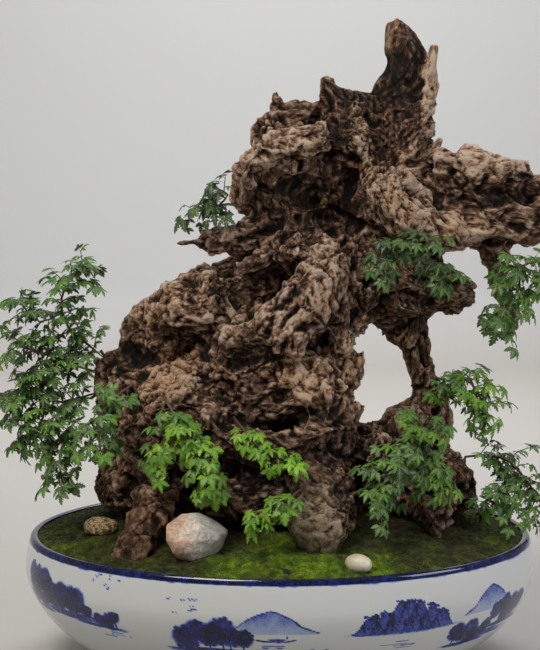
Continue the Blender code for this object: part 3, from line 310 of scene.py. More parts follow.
stump = merged_copy("weathered_stump", nodes["trunk"])
spikes = []
for foot, tip, radius, tip_radius in SPLINTERS:
    along = Vector(tip) - Vector(foot)
    bpy.ops.object.select_all(action="DESELECT")
    bpy.ops.mesh.primitive_cone_add(vertices=7, radius1=radius, radius2=tip_radius, depth=along.length,
                                    location=(Vector(foot) + Vector(tip)) / 2,
                                    rotation=along.to_track_quat("Z", "Y").to_euler())
    spikes.append(bpy.context.object)
select(stump)
for spike in spikes:
    spike.select_set(True)
bpy.ops.object.join()
modify(stump, "REMESH", mode="VOXEL", voxel_size=WOOD_GRID)
modify(stump, "SMOOTH", factor=0.5, iterations=6)
at_wall = directions(stump.data)[:, 1] > 0.1
hidden = np.where(places(stump.data)[:, 2] < BURIED_BELOW, 1.0, 0.15 + 0.7 * at_wall)
group = stump.vertex_groups.new(name="hidden")
for level in np.unique(hidden):
    group.add(np.nonzero(hidden == level)[0].tolist(), float(level), "REPLACE")
modify(stump, "DECIMATE", ratio=FACES_KEPT, vertex_group="hidden")
stump.vertex_groups.clear()
print("vertices to carve:", len(stump.data.vertices))

# %% [markdown]
# The fibres run up the spire, out along the arm and down into the roots. Each region has a middle, a reach
# and a heading. A place that is squeezed along that heading before noise is read there gives noise in long
# fibres. Ridged noise, which is one minus the size of plain noise, gives sharp ribs. Cell noise gives broken
# chips with cracks round them.

# %% The flow of the wood
GRAIN = [
    ((0.170, 0.0, 0.850), 0.10, (0.05, 0.0, 1.0)),
    ((0.270, 0.0, 0.660), 0.13, (1.0, 0.0, -0.12)),
    ((0.030, 0.0, 0.740), 0.07, (0.9, 0.0, 0.35)),
    ((0.030, 0.0, 0.670), 0.09, (0.25, 0.0, 1.0)),
    ((0.020, 0.0, 0.530), 0.13, (0.65, 0.0, 0.75)),
    ((-0.110, 0.0, 0.480), 0.13, (0.90, 0.0, 0.30)),
    ((-0.190, 0.0, 0.350), 0.14, (0.60, 0.0, 0.70)),
    ((-0.040, 0.0, 0.320), 0.15, (0.95, 0.0, -0.20)),
    ((0.060, 0.0, 0.400), 0.09, (0.80, 0.0, -0.55)),
    ((0.190, 0.0, 0.350), 0.12, (0.10, 0.0, 1.0)),
    ((0.000, 0.0, 0.180), 0.12, (0.0, -0.2, 1.0)),
    ((0.200, 0.0, 0.200), 0.12, (0.2, -0.2, 1.0)),
    ((-0.200, 0.0, 0.200), 0.12, (-0.2, -0.2, 1.0)),
]


def stretched(rows, stretch):
    """Places squeezed along the flow of the wood, so that noise read there runs in long fibres."""
    squeezed, total = np.zeros_like(rows), np.zeros(len(rows))
    for centre, reach, heading in GRAIN:
        heading = np.array(heading) / np.linalg.norm(heading)
        away = rows - np.array(centre)
        near = np.exp(-(away**2).sum(1) / reach**2) + 1e-6
        along = (away @ heading) * (1 - 1 / stretch)
        squeezed += near[:, None] * (rows - along[:, None] * heading)
        total += near
    return squeezed / total[:, None]


def ridged(rows, scale, shift):
    """Noise with sharp crests: 1 on a crest and falling to about 0 in the valleys."""
    return 1 - np.minimum(1.0, np.abs(field(rows, scale, shift)) * 2.4)


def chips_of(rows, scale, shift):
    """Broken chips: 0 at the crack round a chip and 1 inside it, and each chip's own level from -1 to 1."""
    found = [noise.voronoi(p) for p in (rows * scale + np.array(shift)).tolist()]
    gap = np.array([near[1] - near[0] for near, _ in found])
    level = np.array([2 * noise.noise(middles[0] * 5.3) for _, middles in found])
    return faded(gap, 0.0, 0.30), np.clip(level, -1, 1)


print("regions of flow:", len(GRAIN))

# %% [markdown]
# Some places mark this stump: pale, crumbling burls and rolled lips, and hollows between them, darkened with
# painted shade. Each is an oval seen from the front, with its middle, its half sizes in metres and its
# strength. A burl stands out and is rough and pale. A hollow sinks in, and painted shade darkens it.

# %% Burls and hollows that mark this stump
BURLS = [
    (-0.001, 0.724, 0.056, 0.029, 0.65),
    (-0.041, 0.682, 0.021, 0.025, 0.5),
    (0.115, 0.732, 0.013, 0.032, 0.9),
    (0.171, 0.662, 0.044, 0.052, 1.0),
    (0.250, 0.710, 0.090, 0.026, 0.5),
    (0.262, 0.622, 0.090, 0.024, 0.6),
    (0.209, 0.815, 0.013, 0.056, 1.0),
    (0.155, 0.885, 0.014, 0.024, 0.3),
    (0.061, 0.561, 0.030, 0.054, 0.7),
    (-0.144, 0.549, 0.065, 0.020, 0.6),
    (-0.200, 0.510, 0.030, 0.020, 0.5),
    (-0.091, 0.493, 0.024, 0.025, 0.9),
    (-0.151, 0.419, 0.039, 0.037, 1.0),
    (0.099, 0.441, 0.019, 0.036, 0.9),
    (0.022, 0.421, 0.038, 0.036, 0.7),
    (0.048, 0.225, 0.040, 0.050, 0.6),
    (-0.105, 0.610, 0.050, 0.012, 0.6),
    (-0.216, 0.369, 0.040, 0.022, 0.3),
    (-0.004, 0.493, 0.034, 0.020, 0.4),
    (-0.150, 0.520, 0.060, 0.034, 0.45),
    (0.120, 0.600, 0.020, 0.020, 0.4),
]
HOLLOWS = [
    (0.038, 0.650, 0.085, 0.055, 0.9),
    (0.078, 0.740, 0.020, 0.032, 0.8),
    (0.265, 0.660, 0.060, 0.017, 1.0),
    (0.160, 0.758, 0.036, 0.040, 0.6),
    (0.188, 0.505, 0.080, 0.044, 0.9),
    (-0.216, 0.430, 0.040, 0.020, 0.9),
    (-0.113, 0.540, 0.025, 0.014, 0.9),
    (-0.071, 0.523, 0.018, 0.014, 0.9),
    (-0.150, 0.470, 0.040, 0.014, 0.7),
    (-0.042, 0.454, 0.028, 0.028, 0.6),
    (0.006, 0.318, 0.130, 0.040, 0.5),
    (-0.120, 0.345, 0.070, 0.022, 0.5),
    (0.182, 0.430, 0.036, 0.050, 0.4),
    (0.165, 0.835, 0.022, 0.050, 0.6),
    (0.146, 0.720, 0.014, 0.022, 0.6),
    (0.212, 0.268, 0.050, 0.022, 0.5),
    (0.085, 0.490, 0.018, 0.032, 0.6),
    (0.062, 0.370, 0.040, 0.014, 0.5),
    (-0.030, 0.560, 0.040, 0.018, 0.5),
]


def marked(rows, normals, table):
    """How strongly each place is marked by the table's ovals, from 0 to 1, on the side towards the viewer."""
    strength = np.zeros(len(rows))
    facing = faded(-normals[:, 1], -0.25, 0.35)
    wobble = 1 + 0.45 * field(rows, 38.0, (5.0, 2.0, 9.0)) + 0.25 * field(rows, 90.0, (1.0, 7.0, 3.0))
    for x, z, half_x, half_z, strong in table:
        share = np.hypot((rows[:, 0] - x) / half_x, (rows[:, 2] - z) / half_z) * wobble
        strength = np.maximum(strength, strong * (1 - faded(share, 0.50, 1.35)) * facing)
    return strength


print("burls:", len(BURLS), "hollows:", len(HOLLOWS))

# %% [markdown]
# Crests and swells are painted lighter, partly as bleached wood and partly as painted highlight, and pits
# darker as painted shade. Averaging the surface over its neighbours and measuring how far each place stands
# above or below that average tells crest from pit. A few rounds of averaging find the fine crests, and many
# rounds find the broad swells. The heights are added up in metres: swells and ridges, fibres, chips, cracks
# and pits. Slow noise gives the back its own burls and hollows, and the front root is calmer and greyer than
# the rest.


# %% Height above the neighbours
def standing_out(mesh, rounds):
    """How far each vertex stands out of the surface averaged over so many rings of neighbours."""
    ends = np.empty(len(mesh.edges) * 2, np.int64)
    mesh.edges.foreach_get("vertices", ends)
    a, b = ends.reshape(-1, 2).T
    rows = places(mesh)
    count = np.bincount(a, minlength=len(rows)) + np.bincount(b, minlength=len(rows))
    soft = rows.copy()
    for _ in range(rounds):
        for axis in range(3):
            around = np.bincount(a, soft[b, axis], len(rows)) + np.bincount(b, soft[a, axis], len(rows))
            soft[:, axis] = 0.4 * soft[:, axis] + 0.6 * around / np.maximum(count, 1)
    return ((rows - soft) * directions(mesh)).sum(1)


# %% Carve the stump
FRONT_ROOT = (0.045, 0.215)
FRONT_ROOT_SIZE = (0.056, 0.090)
CREST_ROUNDS, SWELL_ROUNDS = 5, 50

rows = places(stump.data)
normals = directions(stump.data)
warp = np.stack([field(rows, 17.0, shift) for shift in ((9.3, -1.5, -8.0), (0, 0, 0), (-5.9, 6.2, 8.1))], 1)
turbulent = rows + warp * 0.030
fibres = stretched(rows + warp * 0.012, 3.2)
finer = stretched(rows + warp * 0.008, 4.5)
above_soil = faded(rows[:, 2], 0.185, 0.235)
at_back = faded(normals[:, 1], -0.1, 0.4) * above_soil
patchy = field(rows, 9.0, (3, 1, 2))
burl = np.maximum(marked(rows, normals, BURLS), 0.8 * faded(patchy, 0.10, 0.42) * at_back)
hollow = np.maximum(marked(rows, normals, HOLLOWS), 0.9 * faded(patchy, -0.10, -0.42) * at_back) * (1 - burl)
slim = 1 - 0.8 * faded(rows[:, 2], 0.78, 0.87)
ribbed = faded(field(rows, 15.0, (3, 6, 9)), -0.20, 0.25) * (1 - 0.75 * hollow)
crumbling = faded(field(rows, 21.0, (7, 1, 4)), 0.10, 0.45)
rough = np.maximum(burl, 0.9 * crumbling * (1 - 0.8 * hollow))
height = 0.0050 * field(turbulent, 26.0, (2.0, 4.0, 6.0))
height += 0.0042 * (ridged(turbulent, 30.0, (3.1, 7.7, 1.2)) - 0.5) * (1 - 0.7 * hollow)
height += 0.0050 * (ridged(fibres, 64.0, (1.4, 2.2, 8.5)) - 0.6) * ribbed * (1 - 0.5 * rough)
height += 0.0018 * (ridged(finer, 105.0, (6.3, 0.4, 2.9)) - 0.5) * (1 - rough)
chips, chip_level = chips_of(fibres, 60.0, (3.0, 1.0, 2.0))
crumbs, crumb_level = chips_of(finer, 100.0, (7.0, 5.0, 1.0))
height += (0.0034 * chip_level + 0.0026 * (chips - 1)) * (0.12 + 0.88 * rough) * (1 - 0.4 * hollow)
height += (0.0022 * crumb_level + 0.0016 * (crumbs - 1)) * (0.10 + 0.90 * rough)
cracks = faded(ridged(finer, 44.0, (4.4, 8.1, 0.6)), 0.80, 0.97) * (1 - burl)
height -= 0.0055 * cracks
pits = faded(field(turbulent, 48.0, (8.8, 1.9, 5.1)), 0.22, 0.50)
height -= 0.0080 * pits * (1 - 0.7 * burl)
height += 0.0040 * burl - 0.0060 * hollow
from_root = np.hypot(*[(rows[:, axis] - middle) / half for axis, middle, half
                       in zip((0, 2), FRONT_ROOT, FRONT_ROOT_SIZE)])
front_root = 0.75 * (1 - faded(from_root, 0.45, 1.25)) * faded(-rows[:, 1], 0.08, 0.12)
height *= slim * (0.35 + 0.65 * above_soil) * (1 - 0.5 * front_root)
move_to(stump.data, rows + normals * height[:, None])
crest = standing_out(stump.data, CREST_ROUNDS)
swell = standing_out(stump.data, SWELL_ROUNDS)
print("crests up to mm:", round(float(crest.max()) * 1000, 1), "vertices:", len(rows))

# %% [markdown]
# ## The weathered wood: finish
# Dead chastetree wood is matt. It bleaches to pinkish tan where rain and hands polish it, and stays warm
# orange-brown where bark came off lately. Its pale crests and swells are partly this bleaching and partly a
# painted highlight, and its hollows, pits and cracks are painted nearly black as painted shade. It could be
# painted by hand, but a ramp over the crest height, the burls and the hollows follows the carved form by
# itself. It is broken up by flecks of three sizes, drawn out along the fibres. The open grain, the crumbly
# skin and the knots are also bumps, three to eight millimetres apart.

# %% Values for the wood's colour
# Painted light and shade: the value is raised on crests and swells as a painted highlight, and lowered in
# hollows, pits, cracks and the cracks between chips as painted shade. Burls add their own pale colour, noise
# and chips vary the tone at random, and the lower trunk and the spire's top outside its burls are darker.
lit = 0.50 + 0.17 * np.clip(crest / 0.0016, -1, 1) + 0.26 * np.clip(swell / 0.0090, -1, 1)
lit += 0.34 * burl - 0.15 * hollow - 0.12 * pits - 0.14 * cracks + 0.16 * field(rows, 9.0, (1, 8, 2))
lit += (0.12 * chip_level + 0.08 * crumb_level - 0.10 * (1 - chips) - 0.06 * (1 - crumbs)
        ) * (0.4 + 0.6 * rough)
lit -= 0.08 * faded(-rows[:, 2], -0.36, -0.24) * (1 - front_root)
lit += (0.36 * burl - 0.19) * faded(rows[:, 2], 0.77, 0.80)
tan = np.where(rows[:, 2] < 0.46, burl, 0.25 * burl) + 0.5 * faded(field(rows, 14.0, (4, 4, 1)), 0.15, 0.5)
red = faded(-np.hypot(rows[:, 0] + 0.178, rows[:, 1] + 0.13), -0.08, -0.03) * faded(-rows[:, 2], -0.29, -0.24)
stored = {
    "lit": np.clip(lit, 0, 1), "tan": np.clip(tan, 0, 1), "red": red * 0.8, "grey": front_root,
    "rough": 0.45 + 0.55 * rough, "fibres": stretched(rows + warp * 0.010, 2.8),
    # darker towards the soil: 1 below 0.19 m, fading out by 0.24 m
    "damp": 1 - faded(rows[:, 2], 0.19, 0.24),
}
for name, values in stored.items():
    keep(stump.data, name, values)
print("mean of lit:", round(float(lit.mean()), 3))

# %% Weathered wood
FLECKS = [("streaks", 300.0, 5.0, 0.65, 0.0, 0.70), ("patches", 120.0, 5.0, 0.65, 0.0, 1.00),
          ("crumb", 150.0, 8.0, 0.75, 0.4, 2.60)]
WOOD_RAMPS = {
    "brown": [(0.08, "#17120E"), (0.28, "#382A20"), (0.46, "#624A39"), (0.64, "#94745E"), (0.82, "#C2A38A"),
              (0.97, "#DFCAB5")],
    "orange": [(0.12, "#1E140E"), (0.34, "#563925"), (0.56, "#976A47"), (0.85, "#D8B088")],
    "rust": [(0.12, "#2C1E16"), (0.50, "#70503E"), (0.85, "#A8846A")],
    "ash": [(0.12, "#2B241B"), (0.50, "#7A6C58"), (0.85, "#B3A48C")],
}
wood, tree, shader = material("weathered_deadwood", 0.85)
shader.inputs["Specular IOR Level"].default_value = 0.25
read = {name: node(tree, "Attribute", {"attribute_name": name}) for name in stored}
shade = read["lit"].outputs["Fac"]
flecks = {}
for name, scale, detail, roughness, distortion, push in FLECKS:
    flecks[name] = node(tree, "TexNoise", {"Scale": scale, "Detail": detail, "Roughness": roughness,
                                           "Distortion": distortion},
                        {"Vector": read["fibres"].outputs["Vector"]})
    amount = node(tree, "Math", {"operation": "MULTIPLY_ADD", 1: push, 2: -push / 2},
                  {0: flecks[name].outputs["Fac"]})
    if name == "crumb":
        amount = node(tree, "Math", {"operation": "MULTIPLY"},
                      {0: amount.outputs[0], 1: read["rough"].outputs["Fac"]})
    shade = node(tree, "Math", {"operation": "ADD", "use_clamp": name == "crumb"},
                 {0: shade, 1: amount.outputs[0]}).outputs[0]
ramps = {name: node(tree, "ValToRGB", {"stops": stops}, {0: shade}) for name, stops in WOOD_RAMPS.items()}
tan_share = node(tree, "Math", {"operation": "MULTIPLY", 1: 0.65}, {0: read["tan"].outputs["Fac"]})
# Near the soil the wood is mixed towards a dark brown.
darkened_near_soil_share = node(tree, "Math", {"operation": "MULTIPLY", 1: 0.30}, {0: read["damp"].outputs["Fac"]})
colour = ramps["brown"].outputs["Color"]
for share, name in ((tan_share.outputs[0], "orange"), (read["red"].outputs["Fac"], "rust"),
                    (read["grey"].outputs["Fac"], "ash")):
    colour = node(tree, "Mix", {"data_type": "RGBA"},
                  {0: share, 6: colour, 7: ramps[name].outputs["Color"]}).outputs[2]
colour = node(tree, "Mix", {"data_type": "RGBA", 7: linear("#2A2014")},
              {0: darkened_near_soil_share.outputs[0], 6: colour}).outputs[2]
tree.links.new(colour, shader.inputs["Base Color"])
surface = None
for name, strength, deep in (("streaks", 0.7, 0.0015), ("crumb", 1.0, 0.0065), ("patches", 0.6, 0.004)):
    below = {"Normal": surface} if surface else {}
    surface = node(tree, "Bump", {"Strength": strength, "Distance": deep},
                   {"Height": flecks[name].outputs["Fac"], **below}).outputs["Normal"]
tree.links.new(surface, shader.inputs["Normal"])
coat(stump, wood)
select(stump)
bpy.ops.object.shade_smooth()
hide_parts("trunk")
settle(stump)

# %% [markdown]
# ## The basin: form
# The basin is thrown porcelain, a shallow drum pressed to an oval. It could be a lofted oval, but a profile
# spun round the axis and squeezed from front to back keeps its wall even, as throwing does. The steps are
# finest on the belly's front, because the brushwork is painted on the vertices there.

# %% Sizes of the basin
POT_HALF_WIDTH = 0.3665
POT_DEPTH_SHARE = 0.735
RIM_HEIGHT = 0.182
RIM_HALF_WIDTH = 0.358
WALL = 0.010
FLOOR = 0.014
FOOT_HALF_WIDTH = 0.206
FOOT_HEIGHT = 0.008
BULGE_HEIGHT = 0.135
BELLY_CURVE = 1.6
FOOT_STEP = 0.006


def wall_half_width(height):
    """The basin's outer half width at a height: a drum belly, drawn in to the rim and to the foot."""
    if height >= BULGE_HEIGHT:
        share = (height - BULGE_HEIGHT) / (RIM_HEIGHT - BULGE_HEIGHT)
        return POT_HALF_WIDTH - (POT_HALF_WIDTH - RIM_HALF_WIDTH) * share**2
    share = (BULGE_HEIGHT - height) / (BULGE_HEIGHT - FOOT_HEIGHT)
    belly = POT_HALF_WIDTH - FOOT_HALF_WIDTH - FOOT_STEP
    return FOOT_HALF_WIDTH + FOOT_STEP + belly * math.sqrt(max(0.0, 1 - share**BELLY_CURVE))


def even_steps(points, step):
    """The points with more of them between, no further apart than the step."""
    kept = [points[0]]
    for a, b in zip(points, points[1:]):
        count = max(1, math.ceil(math.dist(a, b) / step))
        kept += [(a[0] + (b[0] - a[0]) * i / count, a[1] + (b[1] - a[1]) * i / count)
                 for i in range(1, count + 1)]
    return kept


print("widest at", BULGE_HEIGHT, "m, half width:", wall_half_width(BULGE_HEIGHT))


# %% Spin the basin
PAINT_STEP = 0.0020
PLAIN_STEP = 0.012
TURNS = 700
FRONT_SHARE = 0.42
DRAIN_RADIUS = 0.011
DRAIN_OFFSET = 0.105

inner = [(wall_half_width(z) - WALL, z) for z in np.linspace(0.024, RIM_HEIGHT - 0.004, 9)]
lip = [(RIM_HALF_WIDTH - 0.0085, RIM_HEIGHT - 0.0012), (RIM_HALF_WIDTH - 0.0060, RIM_HEIGHT),
       (RIM_HALF_WIDTH - 0.0025, RIM_HEIGHT), (RIM_HALF_WIDTH - 0.0006, RIM_HEIGHT - 0.0012)]
belly = even_steps([(wall_half_width(z), z) for z in np.linspace(RIM_HEIGHT - 0.003, 0.034, 40)], PAINT_STEP)
under = even_steps([(wall_half_width(z), z) for z in np.linspace(0.034, FOOT_HEIGHT + 0.0005, 8)][1:],
                   PLAIN_STEP)
foot = [(FOOT_HALF_WIDTH + 0.003, FOOT_HEIGHT - 0.001), (FOOT_HALF_WIDTH, FOOT_HEIGHT - 0.003),
        (FOOT_HALF_WIDTH, 0.0015), (FOOT_HALF_WIDTH - 0.0015, 0.0), (FOOT_HALF_WIDTH - 0.02, 0.0), (0.0, 0.0)]
floor_top = FOOT_HEIGHT + FLOOR
floor_inside = [(0.0, floor_top), (wall_half_width(floor_top) - WALL - 0.006, floor_top)]
profile = [*floor_inside, *inner, *lip, *belly, *under, *foot]

line = bpy.data.meshes.new("basin")
line.from_pydata([(r, 0, z) for r, z in profile], [(i, i + 1) for i in range(len(profile) - 1)], [])
basin = bpy.data.objects.new("painted_basin", line)
scene.collection.objects.link(basin)
modify(basin, "SCREW", steps=TURNS, render_steps=TURNS, use_merge_vertices=True, merge_threshold=0.00005)
rows = places(basin.data)
around = np.arctan2(rows[:, 0], -rows[:, 1])
around -= FRONT_SHARE * np.sin(around)
out = np.hypot(rows[:, 0], rows[:, 1])
rows = np.stack([out * np.sin(around), -out * np.cos(around) * POT_DEPTH_SHARE, rows[:, 2]], 1)
move_to(basin.data, rows)
select(basin)
bpy.ops.object.mode_set(mode="EDIT")
bpy.ops.mesh.select_all(action="SELECT")
bpy.ops.mesh.normals_make_consistent(inside=False)
bpy.ops.object.mode_set(mode="OBJECT")
for side in (-1, 1):
    bpy.ops.object.select_all(action="DESELECT")
    bpy.ops.mesh.primitive_cylinder_add(vertices=48, radius=DRAIN_RADIUS, depth=0.08,
                                        location=(side * DRAIN_OFFSET, 0, 0))
    drill = bpy.context.object
    modify(basin, "BOOLEAN", object=drill, solver="MANIFOLD")
    bpy.data.objects.remove(drill)
select(basin)
bpy.ops.object.shade_smooth_by_angle(angle=math.radians(40))
print("basin rows:", len(profile), "vertices:", len(basin.data.vertices))

# %% [markdown]
# ## The basin: brushwork
# Blue-and-white ware is painted in cobalt under the glaze: a dark band on the lip, and along the belly a
# river landscape of wooded islets, washed hills, boats, water lines and birds. A picture wrapped round the
# basin would be easier, but brush marks can be made from numbers alone. Each motif is a few kinds of mark,
# placed by its angle round the basin and its height. A mark raises the paint value of the vertices near it.
# The shader turns that value to a wash, from pale blue to the near-black blue of pooled cobalt.

# %% Brush marks
rows = places(basin.data)
around = np.arctan2(rows[:, 0], -rows[:, 1] / POT_DEPTH_SHARE)
reach = np.hypot(rows[:, 0], rows[:, 1] / POT_DEPTH_SHARE)
mid_wall = [wall_half_width(z) - WALL / 2 for z in np.clip(rows[:, 2], FOOT_HEIGHT, RIM_HEIGHT).tolist()]
outside = reach > np.array(mid_wall)
sideways = around * POT_HALF_WIDTH
upright = rows[:, 2]
wander = 0.0012 * field(rows, 160.0, (1, 2, 3))
paint = np.zeros(len(rows))


def lay(strength, near):
    """Adds paint to the outside vertices near a stroke, never thicker than a full load."""
    paint[near] = np.maximum(paint[near], np.where(outside[near], strength, 0.0))


def close_to(s, z, reach_s, reach_z):
    """The vertices within a reach of a place on the unrolled wall."""
    return np.nonzero((np.abs(sideways - s) < reach_s) & (np.abs(upright - z) < reach_z))[0]


def dab(s, z, half_s, half_z, load, soft=0.35, turn=0.0):
    """One oval touch of the brush."""
    reach = 2 * max(half_s, half_z)
    near = close_to(s, z, reach, reach)
    ds, dz = sideways[near] - s + wander[near], upright[near] - z + wander[near]
    across, up = ds * math.cos(turn) + dz * math.sin(turn), dz * math.cos(turn) - ds * math.sin(turn)
    lay(load * (1 - faded(np.hypot(across / half_s, up / half_z), 1 - soft, 1 + soft)), near)


def line_of(points, width, load):
    """One drawn line through points."""
    for (s0, z0), (s1, z1) in zip(points, points[1:]):
        run_s, run_z = s1 - s0, z1 - z0
        near = close_to((s0 + s1) / 2, (z0 + z1) / 2, abs(run_s) / 2 + 2 * width, abs(run_z) / 2 + 2 * width)
        ds, dz = sideways[near] - s0, upright[near] - z0
        share = np.clip((ds * run_s + dz * run_z) / (run_s**2 + run_z**2), 0, 1)
        gap = np.hypot(ds - share * run_s, dz - share * run_z) + wander[near] * 0.4
        lay(load * (1 - faded(gap, width * 0.4, width)), near)


print("vertices outside, which can be painted:", int(outside.sum()))


# %% Motifs of the river landscape
def grove(s, z, wide, tall, rng):
    """A clump of leafy trees: round crowns of many touches over a soft wash, with trunks and a flat foot."""
    crowns = max(2, round(wide / 0.009))
    for crown in range(crowns):
        crown_s = s + wide * (-0.85 + 1.7 * (crown + rng.uniform(0.2, 0.8)) / crowns)
        crown_z = z + tall * rng.uniform(-0.35, 0.35)
        high = tall * rng.uniform(0.50, 0.75)
        dab(crown_s, crown_z, high * 1.15, high, rng.uniform(0.80, 0.94), 0.25)
        for _ in range(int(high * 2200)):
            angle, out = rng.uniform(0, 2 * math.pi), math.sqrt(rng.random())
            size = rng.uniform(0.0014, 0.0030)
            dab(crown_s + high * 1.15 * out * math.cos(angle), crown_z + high * 1.05 * out * math.sin(angle),
                size * 1.3, size, rng.uniform(0.86, 1.0), 0.30)
        line_of([(crown_s, crown_z - high * 0.5), (crown_s + rng.uniform(-0.002, 0.002), z - tall * 1.05)],
                0.0012, 0.9)
    dab(s, z - tall * 0.95, wide * 1.05, tall * 0.16, 0.85, 0.4)


def islet(s, z, wide, rng):
    """Low banks of rock: flat strokes stacked up, with a wash between."""
    dab(s, z, wide, 0.0045, 0.40, 0.4)
    for level in range(4):
        reach_s = wide * rng.uniform(0.55, 0.95)
        shift = rng.uniform(-0.2, 0.2) * wide
        line_of([(s + shift - reach_s, z - 0.004 + 0.0025 * level), (s + shift, z - 0.0030 + 0.0025 * level),
                 (s + shift + reach_s, z - 0.0045 + 0.0025 * level)], 0.0014, rng.uniform(0.6, 0.9))


def hill(s, z, wide, tall, rng, load=0.52, foot_share=0.45):
    """A hill: a wash, paler towards its foot, under a firmer outline."""
    peak = rng.uniform(-0.12, 0.12)
    ridge = [(-1.0, 0.0), (-0.72, 0.26), (-0.46, 0.66), (-0.26, 0.84), (peak, 1.0), (peak + 0.12, 0.93),
             (0.42, 0.66), (0.62, 0.30), (1.0, 0.0)]
    points = [(s + wide * a, z + tall * b) for a, b in ridge]
    near = close_to(s, z, wide * 1.2, tall * 1.5)
    top = np.interp(sideways[near], [p[0] for p in points], [p[1] for p in points], left=-1, right=-1)
    inside = (upright[near] < top + wander[near]) & (upright[near] > z - 0.001)
    wash = load * (foot_share + (1 - foot_share) * faded(upright[near], z, z + tall))
    lay(np.where(inside, wash, 0.0), near)
    line_of(points, 0.0013, min(1.0, load + 0.35))


def crags(s, z, wide, tall, rng):
    """Near rocks: steep overlapping peaks in full cobalt, with dark cracks and pines along their tops."""
    for peak in (-0.78, 0.76, -0.50, 0.48, -0.20, 0.22, 0.0):
        peak_s, foot_z = s + wide * peak, z - tall * 0.6
        high = tall * (1.5 - 0.80 * abs(peak)) * rng.uniform(0.90, 1.10)
        hill(peak_s, foot_z, wide * rng.uniform(0.26, 0.34), high, rng, 0.66, 0.92)
        for _ in range(5):
            crack_s = peak_s + wide * rng.uniform(-0.2, 0.2)
            crack_z = foot_z + high * rng.uniform(0.05, 0.4)
            crack = [(crack_s, crack_z + high * 0.3), (crack_s + rng.uniform(-0.004, 0.004), crack_z)]
            line_of(crack, 0.0012, 0.95)
        for _ in range(7):
            size = rng.uniform(0.0016, 0.0028)
            dab(peak_s + wide * rng.uniform(-0.16, 0.16), foot_z + high * rng.uniform(0.72, 1.0),
                size * 1.3, size, rng.uniform(0.85, 1.0), 0.3)
    dab(s, z - tall * 0.62, wide * 1.05, tall * 0.12, 0.66, 0.5)


def boat(s, z, long, _):
    """A small boat with a cabin and a pole, drawn the same each time."""
    hull = [(s - long, z + 0.0022), (s - long * 0.5, z), (s + long * 0.5, z), (s + long, z + 0.0026)]
    line_of(hull, 0.0015, 0.9)
    dab(s, z + 0.0028, long * 0.45, 0.0018, 0.7)
    line_of([(s + long * 0.6, z), (s + long * 0.5, z + 0.010)], 0.0008, 0.75)


def water(s, z, wide, rng):
    """Broken level lines for still water."""
    for level in range(4):
        start = s - wide + rng.uniform(0, wide * 0.6)
        end = start + rng.uniform(0.4, 0.9) * wide
        line_of([(start, z - 0.0032 * level), (end, z - 0.0032 * level)], 0.0009, rng.uniform(0.45, 0.75))


def flock(s, z, wide, tall, rng):
    """Small birds: two short wings each."""
    for _ in range(BIRDS_IN_A_FLOCK):
        bird_s, bird_z = s + rng.uniform(-wide, wide), z + rng.uniform(-tall, tall)
        wing = rng.uniform(0.0018, 0.0028)
        wings = [(bird_s - wing, bird_z + 0.0012), (bird_s, bird_z), (bird_s + wing, bird_z + 0.0014)]
        line_of(wings, 0.0009, 0.7)


# %% Paint the basin
BIRDS_IN_A_FLOCK = 9
LANDSCAPE = [
    (grove, -64, 140, 0.050, 0.026), (grove, -54, 130, 0.052, 0.025), (grove, -42, 114, 0.044, 0.014),
    (islet, -50, 106, 0.084), (grove, -66, 116, 0.040, 0.016), (flock, -39, 163, 0.026, 0.009),
    (flock, -20, 146, 0.026, 0.011), (grove, -14, 108, 0.052, 0.025), (islet, -15, 84, 0.058),
    (hill, -2, 113, 0.062, 0.030), (boat, -1, 101, 0.026), (water, 1, 95, 0.044),
    (grove, 6, 78, 0.034, 0.012), (crags, 27, 126, 0.070, 0.030), (boat, 17, 106, 0.016),
    (water, 28, 92, 0.046), (hill, 51, 116, 0.056, 0.034), (grove, 46, 88, 0.044, 0.018),
    (grove, 60, 108, 0.052, 0.022), (islet, 52, 78, 0.066), (water, -36, 98, 0.040),
    (hill, -84, 118, 0.056, 0.028), (grove, -104, 126, 0.052, 0.024), (islet, -103, 100, 0.062),
    (flock, -121, 150, 0.028, 0.011), (boat, -128, 108, 0.022), (water, -130, 98, 0.040),
    (crags, -154, 128, 0.062, 0.024), (hill, 176, 114, 0.060, 0.030), (grove, 158, 92, 0.046, 0.018),
    (boat, 144, 108, 0.020), (flock, 136, 150, 0.028, 0.011), (grove, 114, 126, 0.054, 0.024),
    (islet, 113, 100, 0.060), (hill, 88, 118, 0.056, 0.030), (water, 84, 94, 0.040),
]
for number, (motif, degrees, height_mm, *sizes) in enumerate(LANDSCAPE):
    motif(math.radians(degrees) * POT_HALF_WIDTH, height_mm / 1000, *sizes, random.Random(number))

BAND_FOOT = 0.1738
band = faded(upright + 0.0008 * field(rows, 90.0, (3, 3, 3)), BAND_FOOT - 0.0006, BAND_FOOT + 0.0006)
paint = np.maximum(paint, band * (reach > RIM_HALF_WIDTH - 0.0095) * 0.93)
keep(basin.data, "paint", paint)
print("painted share of the vertices:", round(float((paint > 0.2).mean()), 3))

# %% [markdown]
# ## The basin: glaze
# Porcelain under a clear glaze is a cool white with a hard, even gloss. The cobalt lies under the glaze, so
# it has the same gloss, and it varies in strength with the brush: streaks about two millimetres apart and
# pools of a centimetre or more. So one ramp gives both colours, over the paint value times two noises.

